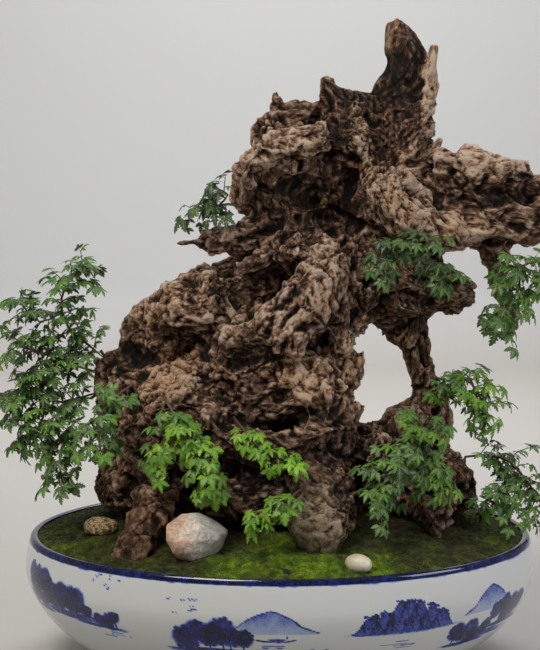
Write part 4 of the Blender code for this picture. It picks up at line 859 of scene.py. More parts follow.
# %% Glazed porcelain
glaze, tree, shader = material("cobalt_painted_porcelain", 0.10)
shader.inputs["Coat Weight"].default_value = 0.3
shader.inputs["Coat Roughness"].default_value = 0.04
paint_value = node(tree, "Attribute", {"attribute_name": "paint"})
spot = node(tree, "TexCoord")
bristle = node(tree, "TexNoise", {"Scale": 420.0, "Detail": 3.0}, {"Vector": spot.outputs["Object"]})
pool = node(tree, "TexNoise", {"Scale": 70.0, "Detail": 2.0}, {"Vector": spot.outputs["Object"]})
uneven = node(tree, "Math", {"operation": "MULTIPLY"},
              {0: bristle.outputs["Fac"], 1: pool.outputs["Fac"]})
uneven = node(tree, "Math", {"operation": "MULTIPLY_ADD", 1: 1.6, 2: 0.58}, {0: uneven.outputs[0]})
load = node(tree, "Math", {"operation": "MULTIPLY", "use_clamp": True},
            {0: paint_value.outputs["Fac"], 1: uneven.outputs[0]})
cobalt = node(tree, "ValToRGB",
              {"stops": [(0.05, "#DCDFDF"), (0.26, "#9FB0D6"), (0.50, "#4A60B2"), (0.70, "#26348C"),
                         (0.92, "#121538")]}, {0: load.outputs[0]})
tree.links.new(cobalt.outputs["Color"], shader.inputs["Base Color"])
coat(basin, glaze)
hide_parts("pot")
settle(basin)

# %% [markdown]
# ## The drain screens
# A square of black plastic mesh lies over each drain hole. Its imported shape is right, so it only gets the
# faint gloss of moulded polypropylene, mottled every three millimetres.

# %% Moulded plastic mesh
plastic, tree, shader = material("moulded_polypropylene", 0.45, 1.49)
spot = node(tree, "TexCoord")
mottle = node(tree, "TexNoise", {"Scale": 300.0}, {"Vector": spot.outputs["Object"]})
tint = node(tree, "ValToRGB", {"stops": [(0.3, "#0C0D0E"), (0.7, "#1A1C1E")]}, {0: mottle.outputs["Fac"]})
tree.links.new(tint.outputs["Color"], shader.inputs["Base Color"])
for name in ("drain_screen_left", "drain_screen_right"):
    coat(nodes[name], plastic)
    print(name, "gets", plastic.name)

# %% [markdown]
# ## The moss carpet
# Moss covers the potting soil as a carpet of small cushions. Hairs could make it, but they are lost when the
# model is exported, so it is a mesh: a fine grid drawn out to the basin's oval, raised on the imported mound,
# with domes from cell noise for the cushions and finer noise for their leafy surface. Short upright leaflets,
# a triangle each, break up its skin. Its colour holds painted light: at the front and in a few spots it is
# painted as sunlit, a bright yellow-green, and in the shade of the stump as painted shade, a dark olive,
# with bare soil by the roots.

# %% Raise the moss
SOIL_EDGE = 0.176
MOUND_RISE = 0.034
MOSS_HALF_WIDTH = wall_half_width(SOIL_EDGE) - WALL - 0.0006
MOSS_THICKNESS = 0.0016
HUMPS_PER_METRE = 22.0
HUMP_HEIGHT = 0.0045
CUSHION = 0.010
CUSHION_HEIGHT = 0.0026
MOSS_COLUMNS = 300
MOSS_ROWS = 230
# Spots of painted sunlight on the moss: middle x and y, and size.
PAINTED_SUNLIT_MOSS = [(0.030, -0.222, 0.050), (-0.005, -0.180, 0.036), (0.055, -0.235, 0.040),
               (-0.055, -0.225, 0.034), (0.130, -0.215, 0.022)]
BARE_SOIL = [(-0.175, -0.165, 0.034), (-0.060, -0.140, 0.026), (0.240, -0.120, 0.030), (0.150, -0.060, 0.040)]


def mound_height(x, y):
    """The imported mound's height: it rises gently from the rim towards the stump, with small humps."""
    share = min(1.0, math.hypot(x, y / POT_DEPTH_SHARE) / MOSS_HALF_WIDTH)
    humps = noise.noise(Vector((x * HUMPS_PER_METRE, y * HUMPS_PER_METRE, 0.3))) * HUMP_HEIGHT
    return SOIL_EDGE + MOUND_RISE * (1 - share**2) + humps * max(0.0, min(1.0, 6 * (1 - share)))


def spots_at(rows, table):
    """How near each place is to the middles of the table's spots, from 0 to 1."""
    near = np.zeros(len(rows))
    for x, y, size in table:
        near = np.maximum(near, np.exp(-((rows[:, 0] - x) ** 2 + (rows[:, 1] - y) ** 2) / size**2))
    return near


def moss_top(rows):
    """The moss surface's height at each place."""
    ground = np.array([mound_height(x, y) for x, y in rows[:, :2].tolist()])
    flat = np.stack([rows[:, 0], rows[:, 1], np.zeros(len(rows))], 1)
    shifts = [field(flat, 90.0, (1, 0, 0)), field(flat, 90.0, (0, 5, 0)), flat[:, 2]]
    warped = flat + 0.004 * np.stack(shifts, 1)
    cells = np.array([noise.voronoi(p)[0][0] for p in (warped / CUSHION).tolist()])
    rim = faded(1 - np.hypot(rows[:, 0], rows[:, 1] / POT_DEPTH_SHARE) / MOSS_HALF_WIDTH, 0.0, 0.03)
    cushions = CUSHION_HEIGHT * np.clip(1 - cells**2 * 1.6, 0, 1) * rim
    leafy = 0.0009 * field(flat, 520.0) + 0.0014 * field(flat, 210.0, (3, 1, 4)) + 0.0020 * field(flat, 60.0)
    bare = spots_at(rows, BARE_SOIL)
    return ground + MOSS_THICKNESS + (cushions + leafy) * (1 - 0.6 * bare)


bpy.ops.object.select_all(action="DESELECT")
bpy.ops.mesh.primitive_grid_add(x_subdivisions=MOSS_COLUMNS, y_subdivisions=MOSS_ROWS, size=2)
moss = bpy.context.object
moss.name = "moss_carpet"
rows = places(moss.data)
u, v = rows[:, 0].copy(), rows[:, 1].copy()
rows[:, 0] = u * np.sqrt(1 - v**2 / 2) * MOSS_HALF_WIDTH
rows[:, 1] = v * np.sqrt(1 - u**2 / 2) * MOSS_HALF_WIDTH * POT_DEPTH_SHARE
rows[:, 2] = moss_top(rows)
move_to(moss.data, rows)
bpy.ops.object.mode_set(mode="EDIT")
bpy.ops.mesh.select_all(action="SELECT")
bpy.ops.mesh.region_to_loop()
bpy.ops.mesh.extrude_region_move(TRANSFORM_OT_translate={"value": (0, 0, -0.005)})
bpy.ops.object.mode_set(mode="OBJECT")
print("moss reaches", round(float(rows[:, 2].max()), 4), "m")

# %% Scatter the moss's leaflets
TUFTS = 9000
TUFT_HEIGHTS = (0.0014, 0.0034)
TUFT_HALF_WIDTH = 0.0007
TUFT_LEAN = 0.0010
rng = random.Random(7)
spread = []
while len(spread) < TUFTS:
    x, y = rng.uniform(-1, 1), rng.uniform(-1, 1)
    if math.hypot(x, y) < 0.97:
        spread.append((x * MOSS_HALF_WIDTH, y * MOSS_HALF_WIDTH * POT_DEPTH_SHARE, 0.0))
feet = np.array(spread)
feet[:, 2] = moss_top(feet) - 0.0006
verts, faces = [], []
for foot_place in feet.tolist():
    base = Vector(foot_place)
    turn, tall = rng.uniform(0, 2 * math.pi), rng.uniform(*TUFT_HEIGHTS)
    wide = Vector((math.cos(turn), math.sin(turn), 0)) * TUFT_HALF_WIDTH
    lean = Vector((rng.uniform(-1, 1), rng.uniform(-1, 1), 0)) * TUFT_LEAN
    start = len(verts)
    verts += [base - wide, base + wide, base + lean + Vector((0, 0, tall))]
    faces.append((start, start + 1, start + 2))
tufts = bpy.data.objects.new("moss_leaflets", bpy.data.meshes.new("moss_leaflets"))
tufts.data.from_pydata(verts, [], faces)
scene.collection.objects.link(tufts)
select(moss)
tufts.select_set(True)
bpy.ops.object.join()
rows = places(moss.data)
# Painted sunlight: the front of the carpet, broken by noise, and the listed spots; the rest is painted shade.
light = 0.5 * faded(field(rows, 26.0, (2, 2, 2)), 0.05, 0.45) * faded(-rows[:, 1], -0.06, 0.2)
light += spots_at(rows, PAINTED_SUNLIT_MOSS)
keep(moss.data, "bright", np.clip(light, 0, 1))
keep(moss.data, "bare", spots_at(rows, BARE_SOIL) * faded(field(rows, 60.0, (8, 1, 1)), -0.3, 0.2))
bpy.ops.object.shade_smooth()
print("moss leaflets:", TUFTS)

# %% [markdown]
# Moss is matt and slightly velvety, because light is lost between its leaflets. Its colour is broken up by
# two noises, at the size of a cushion, a centimetre, and of a leaflet, under two millimetres. Three ramps over
# them, for moss in painted shade, moss in painted sunlight and bare soil, are mixed by the values stored on
# the carpet. The soil below keeps its imported shape and is dark and damp.

# %% Living moss
velvet, tree, shader = material("living_moss", 0.95)
shader.inputs["Specular IOR Level"].default_value = 0.15
shader.inputs["Sheen Weight"].default_value = 0.06
shader.inputs["Sheen Roughness"].default_value = 0.5
painted_sunlight_value = node(tree, "Attribute", {"attribute_name": "bright"})
bare_value = node(tree, "Attribute", {"attribute_name": "bare"})
spot = node(tree, "TexCoord")
cushion_noise = node(tree, "TexNoise", {"Scale": 90.0, "Detail": 4.0}, {"Vector": spot.outputs["Object"]})
leaf_noise = node(tree, "TexNoise", {"Scale": 620.0, "Detail": 3.0}, {"Vector": spot.outputs["Object"]})
both = node(tree, "Math", {"operation": "ADD"},
            {0: cushion_noise.outputs["Fac"], 1: leaf_noise.outputs["Fac"]})
both = node(tree, "Math", {"operation": "MULTIPLY", 1: 0.5}, {0: both.outputs[0]})
shade = node(tree, "ValToRGB", {"stops": [(0.36, "#12150A"), (0.50, "#303511"), (0.64, "#555C1E")]},
             {0: both.outputs[0]})
sun = node(tree, "ValToRGB", {"stops": [(0.34, "#22330A"), (0.50, "#506C0E"), (0.66, "#8FA620")]},
           {0: both.outputs[0]})
soil_tint = node(tree, "ValToRGB", {"stops": [(0.36, "#120C08"), (0.50, "#2E2013"), (0.66, "#55402A")]},
                 {0: both.outputs[0]})
colour = node(tree, "Mix", {"data_type": "RGBA"},
              {0: painted_sunlight_value.outputs["Fac"], 6: shade.outputs["Color"], 7: sun.outputs["Color"]})
colour = node(tree, "Mix", {"data_type": "RGBA"},
              {0: bare_value.outputs["Fac"], 6: colour.outputs[2], 7: soil_tint.outputs["Color"]})
tree.links.new(colour.outputs[2], shader.inputs["Base Color"])
fuzz = node(tree, "Bump", {"Strength": 0.8, "Distance": 0.0015}, {"Height": leaf_noise.outputs["Fac"]})
tree.links.new(fuzz.outputs["Normal"], shader.inputs["Normal"])
coat(moss, velvet)
settle(moss)

humus, tree, shader = material("damp_potting_soil", 0.95)
spot = node(tree, "TexCoord")
crumb = node(tree, "TexNoise", {"Scale": 260.0, "Detail": 5.0}, {"Vector": spot.outputs["Object"]})
tint = node(tree, "ValToRGB", {"stops": [(0.35, "#140E09"), (0.65, "#3B2A1B")]}, {0: crumb.outputs["Fac"]})
tree.links.new(tint.outputs["Color"], shader.inputs["Base Color"])
crumbs = node(tree, "Bump", {"Strength": 0.8, "Distance": 0.002}, {"Height": crumb.outputs["Fac"]})
tree.links.new(crumbs.outputs["Normal"], shader.inputs["Normal"])
coat(nodes["soil"], humus)
print("soil gets", humus.name)

# %% [markdown]
# ## The stones
# Three stones lie on the moss: a broken block of pink and white quartz, a gravelly ochre stone, and a
# water-worn pebble. They could be modelled anew, but a welded copy of each packed stone that is divided,
# smoothed a little and roughened keeps its form. The quartz is also cut back to a few flat faces, as it
# broke. Quartz has a low sheen on its breaks, with iron stains and grey veins two centimetres apart. The
# gravel stone is matt, with dark and pale grit two to three millimetres wide. The pebble is worn to a soft
# gloss and is a nearly even cream.


# %% Shape the stones
def stone_copy(name, source, softening, rough, scale, levels=4):
    """A packed stone with finer faces and a rough skin."""
    made = merged_copy(name, nodes[source])
    modify(made, "SUBSURF", subdivision_type="SIMPLE", levels=levels, render_levels=levels)
    modify(made, "SMOOTH", factor=0.5, iterations=softening)
    rows = places(made.data)
    relief = rough * (field(rows, scale, (1, 1, 1)) + 0.5 * field(rows, scale * 2.3, (5, 1, 1)))
    move_to(made.data, rows + directions(made.data) * relief[:, None])
    select(made)
    bpy.ops.object.shade_smooth()
    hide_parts(source)
    return made


QUARTZ_FACES = [((0.50, -0.15, 0.85), 0.0225), ((-0.75, -0.55, 0.35), 0.0410), ((0.40, -0.88, 0.25), 0.0240),
                ((-0.25, -0.60, 0.75), 0.0265), ((0.90, -0.30, 0.30), 0.0340)]
SHARE_CUT = 0.92

quartz = stone_copy("pink_quartz", "quartz_rock", 2, 0.0010, 55.0)
rows = places(quartz.data)
centre = (rows.min(0) + rows.max(0)) / 2
for facing, reach in QUARTZ_FACES:
    facing = np.array(facing) / np.linalg.norm(facing)
    over = np.maximum(0, (rows - centre) @ facing - reach)
    rows -= facing * over[:, None] * SHARE_CUT
move_to(quartz.data, rows)
modify(quartz, "SMOOTH", factor=0.5, iterations=3)
gravel = stone_copy("gravelly_stone", "speckled_stone", 8, 0.0009, 190.0)
pebble = stone_copy("cream_pebble", "white_pebble", 20, 0.0002, 60.0, 3)
print("stones:", [stone.name for stone in (quartz, gravel, pebble)])

# %% Stained quartz
rock, tree, shader = material("iron_stained_quartz", 0.55, 1.54)
spot = node(tree, "TexCoord")
moved = node(tree, "Mapping", {"Location": (0.112, 0.18, -0.22)}, {"Vector": spot.outputs["Object"]})
parts = node(tree, "SeparateXYZ", {}, {"Vector": moved.outputs["Vector"]})
cloud = node(tree, "TexNoise", {"Scale": 60.0, "Detail": 8.0, "Roughness": 0.68},
             {"Vector": spot.outputs["Object"]})
veins = node(tree, "TexNoise", {"Scale": 42.0, "Detail": 5.0, "Distortion": 1.8},
             {"Vector": spot.outputs["Object"]})
slope = node(tree, "Math", {"operation": "MULTIPLY_ADD", 1: -9.0, 2: -0.08}, {0: parts.outputs["X"]})
stain = node(tree, "Math", {"operation": "ADD", "use_clamp": True},
             {0: slope.outputs[0], 1: cloud.outputs["Fac"]})
ground = node(tree, "ValToRGB",
              {"stops": [(0.30, "#C9C5BE"), (0.44, "#EFE8DD"), (0.60, "#E8C7AB"), (0.85, "#CB9A7A")]},
              {0: stain.outputs[0]})
dark = node(tree, "ValToRGB", {"stops": [(0.46, "#000000"), (0.50, "#B4B4B4"), (0.55, "#000000")]},
            {0: veins.outputs["Fac"]})
colour = node(tree, "Mix", {"data_type": "RGBA", 7: linear("#6A625E")},
              {0: dark.outputs["Color"], 6: ground.outputs["Color"]})
tree.links.new(colour.outputs[2], shader.inputs["Base Color"])
chips = node(tree, "Bump", {"Strength": 1.0, "Distance": 0.005}, {"Height": cloud.outputs["Fac"]})
tree.links.new(chips.outputs["Normal"], shader.inputs["Normal"])
coat(quartz, rock)
settle(quartz)

# %% Gravelly ochre stone and cream pebble
grit, tree, shader = material("cemented_gravel", 0.8)
spot = node(tree, "TexCoord")
grains = node(tree, "TexVoronoi", {"Scale": 380.0}, {"Vector": spot.outputs["Object"]})
tint = node(tree, "ValToRGB",
            {"stops": [(0.10, "#4A3A26"), (0.35, "#8E744E"), (0.60, "#BB9E72"), (0.90, "#D8C69F")]},
            {0: grains.outputs["Color"]})
tree.links.new(tint.outputs["Color"], shader.inputs["Base Color"])
bumps = node(tree, "Bump", {"Strength": 0.8, "Distance": 0.0015}, {"Height": grains.outputs["Distance"]})
tree.links.new(bumps.outputs["Normal"], shader.inputs["Normal"])
coat(gravel, grit)
settle(gravel)

river, tree, shader = material("water_worn_limestone", 0.42)
spot = node(tree, "TexCoord")
cloud = node(tree, "TexNoise", {"Scale": 60.0, "Detail": 4.0}, {"Vector": spot.outputs["Object"]})
tint = node(tree, "ValToRGB", {"stops": [(0.35, "#CFC6A6"), (0.65, "#ECE6D4")]}, {0: cloud.outputs["Fac"]})
tree.links.new(tint.outputs["Color"], shader.inputs["Base Color"])
coat(pebble, river)
settle(pebble)

# %% [markdown]
# ## The leafy shoots: where they grow
# Sixteen young shoots stand in holes in the old wood. The imported shoots have their leaves at true size and
# place, but flat and few. Leaves could be strewn at random, but then they would leave the imported form. So the
# same seeded rule that laid the imported stems and leaves is followed again here, and each finer leaf lies
# where a packed one does. The rule tries up to fourteen poses for a leaf, and the imported shoot tells which
# one it took: the pose whose leaflets end on it. Each shoot has its tint, then the knots of its stem and of
# any twig.

# %% The shoots and the rule's sizes
# Each shoot's tint sets its green, lime on new growth, and also paints light and shade: shoots in the open
# front are painted lighter, and shoots under the arm, by the spike and at the back darker.
SHOOTS = [
    ("left_upper_shoot", 0.56, [[(-0.256, -0.010, 0.444), (-0.286, -0.020, 0.460), (-0.307, -0.030, 0.500),
                                 (-0.301, -0.030, 0.538), (-0.276, -0.025, 0.562)],
                                [(-0.336, -0.045, 0.488), (-0.365, -0.050, 0.519)]]),
    ("left_outer_shoot", 0.52, [[(-0.265, -0.010, 0.413), (-0.302, -0.030, 0.430), (-0.335, -0.050, 0.446),
                                 (-0.368, -0.060, 0.457)],
                                [(-0.327, -0.060, 0.408), (-0.347, -0.070, 0.396)]]),
    ("left_low_shoot", 0.52, [[(-0.268, -0.020, 0.377), (-0.307, -0.040, 0.374), (-0.347, -0.055, 0.382),
                               (-0.387, -0.065, 0.370)],
                              [(-0.331, -0.070, 0.351), (-0.349, -0.080, 0.324)]]),
    ("left_hanging_shoot", 0.50, [[(-0.258, -0.040, 0.341), (-0.288, -0.060, 0.335), (-0.305, -0.080, 0.306),
                                   (-0.302, -0.085, 0.269)]]),
    ("cheek_shoot", 0.60, [[(-0.216, -0.100, 0.397), (-0.227, -0.130, 0.391), (-0.243, -0.150, 0.367),
                            (-0.240, -0.155, 0.328)]]),
    ("front_left_shoot", 0.84, [[(-0.156, -0.120, 0.392), (-0.141, -0.150, 0.374), (-0.120, -0.165, 0.343),
                                 (-0.100, -0.170, 0.307), (-0.091, -0.170, 0.277)],
                                [(-0.156, -0.160, 0.342), (-0.171, -0.165, 0.314)]]),
    ("front_middle_shoot", 0.90, [[(-0.058, -0.120, 0.351), (-0.038, -0.165, 0.343), (-0.012, -0.175, 0.324),
                                   (0.015, -0.175, 0.316)]]),
    ("low_front_shoot", 0.84, [[(0.029, -0.170, 0.277), (0.012, -0.200, 0.273), (-0.012, -0.205, 0.255),
                                (-0.030, -0.205, 0.240)]]),
    ("spike_shoot", 0.30, [[(-0.052, -0.030, 0.650), (-0.072, -0.050, 0.652), (-0.099, -0.060, 0.647),
                            (-0.127, -0.065, 0.637)],
                           [(-0.072, -0.060, 0.665), (-0.088, -0.065, 0.674)]]),
    ("arm_front_shoot", 0.40, [[(0.204, -0.112, 0.618), (0.202, -0.134, 0.606), (0.178, -0.140, 0.606),
                                (0.144, -0.140, 0.593), (0.125, -0.140, 0.573)],
                               [(0.198, -0.130, 0.577), (0.217, -0.130, 0.553)]]),
    ("arm_end_shoot", 0.56, [[(0.314, -0.030, 0.597), (0.319, -0.060, 0.578), (0.329, -0.070, 0.548),
                              (0.318, -0.075, 0.514), (0.299, -0.075, 0.487)],
                             [(0.352, -0.080, 0.574), (0.368, -0.085, 0.547)]]),
    ("knee_shoot", 0.70, [[(0.215, -0.030, 0.382), (0.231, -0.060, 0.397), (0.250, -0.080, 0.414),
                           (0.271, -0.090, 0.396), (0.285, -0.095, 0.358)]]),
    ("right_front_shoot", 0.60, [[(0.206, -0.090, 0.343), (0.185, -0.130, 0.342), (0.159, -0.150, 0.324),
                                  (0.143, -0.155, 0.290), (0.127, -0.155, 0.256)],
                                 [(0.197, -0.150, 0.303), (0.220, -0.150, 0.273)]]),
    ("right_far_shoot", 0.56, [[(0.271, -0.020, 0.294), (0.296, -0.030, 0.296), (0.325, -0.040, 0.288),
                                (0.353, -0.045, 0.256), (0.374, -0.050, 0.221)],
                               [(0.314, -0.050, 0.250), (0.295, -0.060, 0.227)]]),
    ("back_left_shoot", 0.45, [[(-0.120, 0.100, 0.380), (-0.140, 0.130, 0.400), (-0.180, 0.150, 0.400),
                                (-0.205, 0.155, 0.370)]]),
    ("back_right_shoot", 0.40, [[(0.130, 0.080, 0.560), (0.140, 0.115, 0.550), (0.160, 0.135, 0.520),
                                 (0.185, 0.140, 0.490)]]),
]
STEM_RADIUS = 0.0021
TWIG_RADIUS = 0.0015
STEM_RISE = 0.011
STEM_CLEARANCE = 0.009
KNOT_CLEARANCE = 0.0135
STEM_ROOM = 0.0008
SOCKET_DEPTH = 0.008
LEAF_LENGTH = 0.027
LEAF_SPACING = 0.078
FIRST_LEAF = 0.040
FIRST_TWIG_LEAF = 0.050
STALK_LENGTH = 0.0095
STALK_LIFT = 0.35
POSE_TRIES = 14
print("shoots:", len(SHOOTS))


# %% Search trees and distances
FAR_OUTSIDE = 0.04
MOST_CROSSINGS = 40
SLANT = Vector((0.31, 0.17, 0.94)).normalized()


def tree_of(mesh):
    """A search tree of a mesh's faces."""
    return BVHTree.FromPolygons([v.co for v in mesh.vertices], [tuple(p.vertices) for p in mesh.polygons])


def inside_by(tree, point):
    """How deep a point lies in a solid, or minus its distance outside. A far point counts as outside."""
    gap = tree.find_nearest(point)[3]
    if gap > FAR_OUTSIDE:
        return -gap
    crossings, start = 0, point
    while crossings < MOST_CROSSINGS:
        hit = tree.ray_cast(start, SLANT)[0]
        if hit is None:
            break
        crossings += 1
        start = hit + SLANT * 1e-5
    return gap if crossings % 2 else -gap


def held_off(points, solids, distance):
    """The points moved, where needed, to this distance outside the solids."""
    kept = []
    for point in points:
        for _ in range(3):
            for tree in solids:
                depth = inside_by(tree, point)
                if depth > -distance:
                    near, normal, _, _ = tree.find_nearest(point)
                    away = normal if depth > 0 or point == near else (point - near).normalized()
                    point = near + away * distance
        kept.append(point)
    return kept


SOLID_NAMES = ("trunk", "soil", "pot", "quartz_rock", "speckled_stone", "white_pebble")
solids = [tree_of(nodes[name].data) for name in SOLID_NAMES]
print("search trees:", len(solids))


# %% Lay the stems
def tube(points, radii, sides=8):
    """A closed tube through points, as a curve with a round bevel turned into a mesh object."""
    line = bpy.data.curves.new("tube", "CURVE")
    line.dimensions = "3D"
    line.bevel_depth = 1.0
    line.bevel_resolution = sides // 2 - 2
    line.use_fill_caps = True
    spline = line.splines.new("POLY")
    spline.points.add(len(points) - 1)
    for spot, place, radius in zip(spline.points, points, radii):
        spot.co = (*place, 1.0)
        spot.radius = radius
    made = bpy.data.objects.new("tube", line)
    scene.collection.objects.link(made)
    select(made)
    bpy.ops.object.convert(target="MESH")
    return bpy.context.object


def smooth_path(points, steps):
    """Catmull-Rom points through the given ones."""
    knots = [np.array(p, float) for p in points]
    knots = [2 * knots[0] - knots[1], *knots, 2 * knots[-1] - knots[-2]]
    path = []
    for a, b, c, d in zip(knots, knots[1:], knots[2:], knots[3:]):
        for step in range(steps):
            t = step / steps
            path.append(0.5 * (2 * b + (c - a) * t + (2 * a - 5 * b + 4 * c - d) * t**2
                               + (3 * b - a - 3 * c + d) * t**3))
    path.append(knots[-2])
    return path


def clear_path(curve):
    """The curve held off the solids, and ever further until a tube along it meets none of them."""
    distance = STEM_CLEARANCE
    for _ in range(8):
        path = [curve[0], *held_off(curve[1:], solids, distance)]
        skin_object = tube(path, [STEM_RADIUS + STEM_ROOM] * len(path), 4)
        skin = tree_of(skin_object.data)
        bpy.data.objects.remove(skin_object)
        if not any(skin.overlap(tree) for tree in solids):
            break
        distance *= 1.2
    return [Vector(p) for p in path]


def feet_of(shoot, place):
    """The two ways in which a packed stem's lowest part may stand: its foot on the wood and its direction."""
    near = solids[0].find_nearest(Vector(place))[0]
    rows = places(shoot.data)
    rings = rows[np.argsort(np.linalg.norm(rows - np.array(near), axis=1))[:8]]
    axis = np.linalg.svd(rings - rings.mean(0))[2][0]
    order = np.argsort(rings @ axis)
    ends = [rings[order[:4]].mean(0), rings[order[4:]].mean(0)]
    ways = []
    for deep, high in (ends, ends[::-1]):
        out = Vector(high - deep).normalized()
        ways.append((Vector(deep) + out * SOCKET_DEPTH, out))
    return ways


def lay_stems(shoot, stems):
    """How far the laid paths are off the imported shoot, its foot, the way out of the wood, and the paths."""
    tree = tree_of(shoot.data)
    tries = []
    for foot, out in feet_of(shoot, stems[0][0]):
        paths = []
        for number, stem in enumerate(stems):
            places_given = [Vector(p) for p in stem]
            if number:
                start = min(paths[0][3:-1], key=lambda p: (p - places_given[0]).length)
                knots = [start, *held_off(places_given, solids, KNOT_CLEARANCE)]
            else:
                knots = [foot + out * STEM_RISE, *held_off(places_given[1:], solids, KNOT_CLEARANCE)]
            paths.append(clear_path([Vector(p) for p in smooth_path([tuple(k) for k in knots], 2)]))
        tries.append((max(tree.find_nearest(p)[3] for path in paths for p in path), foot, out, paths))
    return min(tries, key=lambda one: one[0])


packed = {name: merged_copy("packed_" + name, nodes[name]) for name, _, _ in SHOOTS}
laid = {name: lay_stems(packed[name], stems) for name, _, stems in SHOOTS}
for name, (off, *_) in laid.items():
    print(name, "path points off the packed stem by at most mm:", round(off * 1000, 1))

# %% [markdown]
# ## The leafy shoots: one leaf
# A chastetree leaf is a hand of three or five leaflets on a slim stalk. Each leaflet is cut along its edge
# into forward teeth, folded a little along its midrib and bent down towards its tip. A flat card with a
# see-through picture is the usual short cut, but a cut mesh keeps its outline from close by and in the
# exported model. A leaf is built once, flat, and every leaf of the shoots is a bent copy of it. The leaves of
# a shoot are gathered in one mesh.

# %% The leaf's shape
FIVE = ((-106, 0.60, 0.17), (-50, 0.90, 0.22), (0, 1.0, 0.23), (50, 0.90, 0.22), (106, 0.60, 0.17))
THREE = ((-60, 0.88, 0.26), (0, 1.0, 0.29), (60, 0.88, 0.26))
TEETH = ((0.08, 0.12), (0.18, 0.42), (0.30, 1.0), (0.36, 0.50), (0.50, 1.10), (0.56, 0.50), (0.70, 0.86),
         (0.76, 0.40), (0.88, 0.42))


def leaflet_rows(angle, length, half_width):
    """A leaflet's midrib and edges in the leaf's plane, from its base to its tip: three places a row."""
    along = np.array((math.sin(angle), math.cos(angle)))
    across = np.array((along[1], -along[0]))
    rows = []
    for share, wide in TEETH:
        forward = 0.05 * wide
        rows.append((along * (share + forward) * length - across * wide * half_width,
                     along * share * length,
                     along * (share + forward) * length + across * wide * half_width))
    return rows, along * length


def leaf_template(spread):
    """Flat places, how far each is from its midrib, and faces of one leaf with leaflets spread so."""
    flat, edge, faces = [(0.0, 0.0)], [0.0], []
    for degrees, length, half_width in spread:
        rows, tip = leaflet_rows(math.radians(degrees), length, half_width)
        start = len(flat)
        for left, middle, right in rows:
            flat += [tuple(left), tuple(middle), tuple(right)]
            edge += [1.0, 0.0, 1.0]
        flat.append(tuple(tip))
        edge.append(0.0)
        last = len(flat) - 1
        faces += [(0, start + 1, start), (0, start + 2, start + 1)]
        for i in range(start, last - 3, 3):
            faces += [(i, i + 1, i + 4, i + 3), (i + 1, i + 2, i + 5, i + 4)]
        faces += [(last - 3, last - 2, last), (last - 2, last - 1, last)]
    return np.array(flat), np.array(edge), faces


TEMPLATES = {"five": leaf_template(FIVE), "three": leaf_template(THREE)}
FOLD = 0.10
DROOP = 0.42
print("faces in a leaf:", {kind: len(made[2]) for kind, made in TEMPLATES.items()})


# %% Gather leaves into a mesh
STALK_RADIUS = 0.00045
THIRDS_OF_A_TURN = (0, 2.0944, 4.1888)


def hub_of(foot, heading, facing, stalk):
    """The way across a leaf, and the place where its stalk ends and its leaflets start."""
    return heading.cross(facing).normalized(), foot + (heading + facing * STALK_LIFT).normalized() * stalk


class Growth:
    """The leaves of one shoot: their places, faces, and each vertex's tint and distance from the midrib."""

    def __init__(self):
        self.verts, self.faces, self.tints, self.edges = [], [], [], []

    def add_leaf(self, foot, heading, facing, size, stalk, kind, tint):
        """One leaf on its stalk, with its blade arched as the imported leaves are."""
        flat, edge, faces = TEMPLATES[kind]
        across, hub = hub_of(foot, heading, facing, stalk)
        flat = flat * size
        bent = (flat**2).sum(1) / size * DROOP - edge * size * FOLD * 0.5
        rows = (np.array(hub) + flat[:, :1] * np.array(across) + flat[:, 1:] * np.array(heading)
                - bent[:, None] * np.array(facing))
        start = len(self.verts)
        self.verts += rows.tolist()
        self.faces += [tuple(start + i for i in face) for face in faces]
        self.add_strip(foot, hub, STALK_RADIUS)
        self.tints += [tint] * (len(self.verts) - len(self.tints))
        self.edges += edge.tolist() + [0.0] * (len(self.verts) - len(self.edges) - len(edge))

    def add_strip(self, a, b, radius):
        """A slim three-sided stalk between two places."""
        along = (b - a).normalized()
        side = along.orthogonal().normalized()
        other = along.cross(side)
        start = len(self.verts)
        for end in (a, b):
            for turn in THIRDS_OF_A_TURN:
                self.verts.append(list(end + (side * math.cos(turn) + other * math.sin(turn)) * radius))
        for i, j in ((0, 1), (1, 2), (2, 0)):
            self.faces.append((start + i, start + j, start + 3 + j, start + 3 + i))


def pose(rng, along, side, outward, attempt):
    """One try at a leaf's pose on a stem: its heading, the way its face looks, its size, kind and stalk."""
    wander = 0.20 + 0.05 * attempt
    up = (Vector((0, 0, 1)) + outward * rng.uniform(0.1, 0.9)).normalized()
    sideways = along.cross(up).normalized() * side
    heading = along * rng.uniform(0.4, 0.9) + sideways * 0.9 - Vector((0, 0, 1)) * rng.uniform(0.15, 0.75)
    heading += Vector([rng.uniform(-wander, wander) for _ in range(3)])
    heading.normalize()
    facing = (up - heading * up.dot(heading)).normalized()
    size = rng.uniform(0.85, 1.15) * LEAF_LENGTH * (1 - 0.03 * attempt)
    kind = "five" if rng.random() < 0.4 else "three"
    stalk = rng.uniform(0.7, 1.2) * STALK_LENGTH
    return heading, facing, size, stalk, kind


def tips_off(tree, foot, heading, facing, size, stalk, kind):
    """How far, on average, the tips of a leaf's leaflets lie from a packed shoot."""
    across, hub = hub_of(foot, heading, facing, stalk)
    gaps = []
    for degrees, length, _ in (FIVE if kind == "five" else THREE):
        reach = length * size
        angle = math.radians(degrees)
        flat = Vector((math.sin(angle), math.cos(angle))) * reach
        tip = hub + across * flat.x + heading * flat.y - facing * (reach**2 / size * DROOP)
        gaps.append(tree.find_nearest(tip)[3])
    return sum(gaps) / len(gaps)


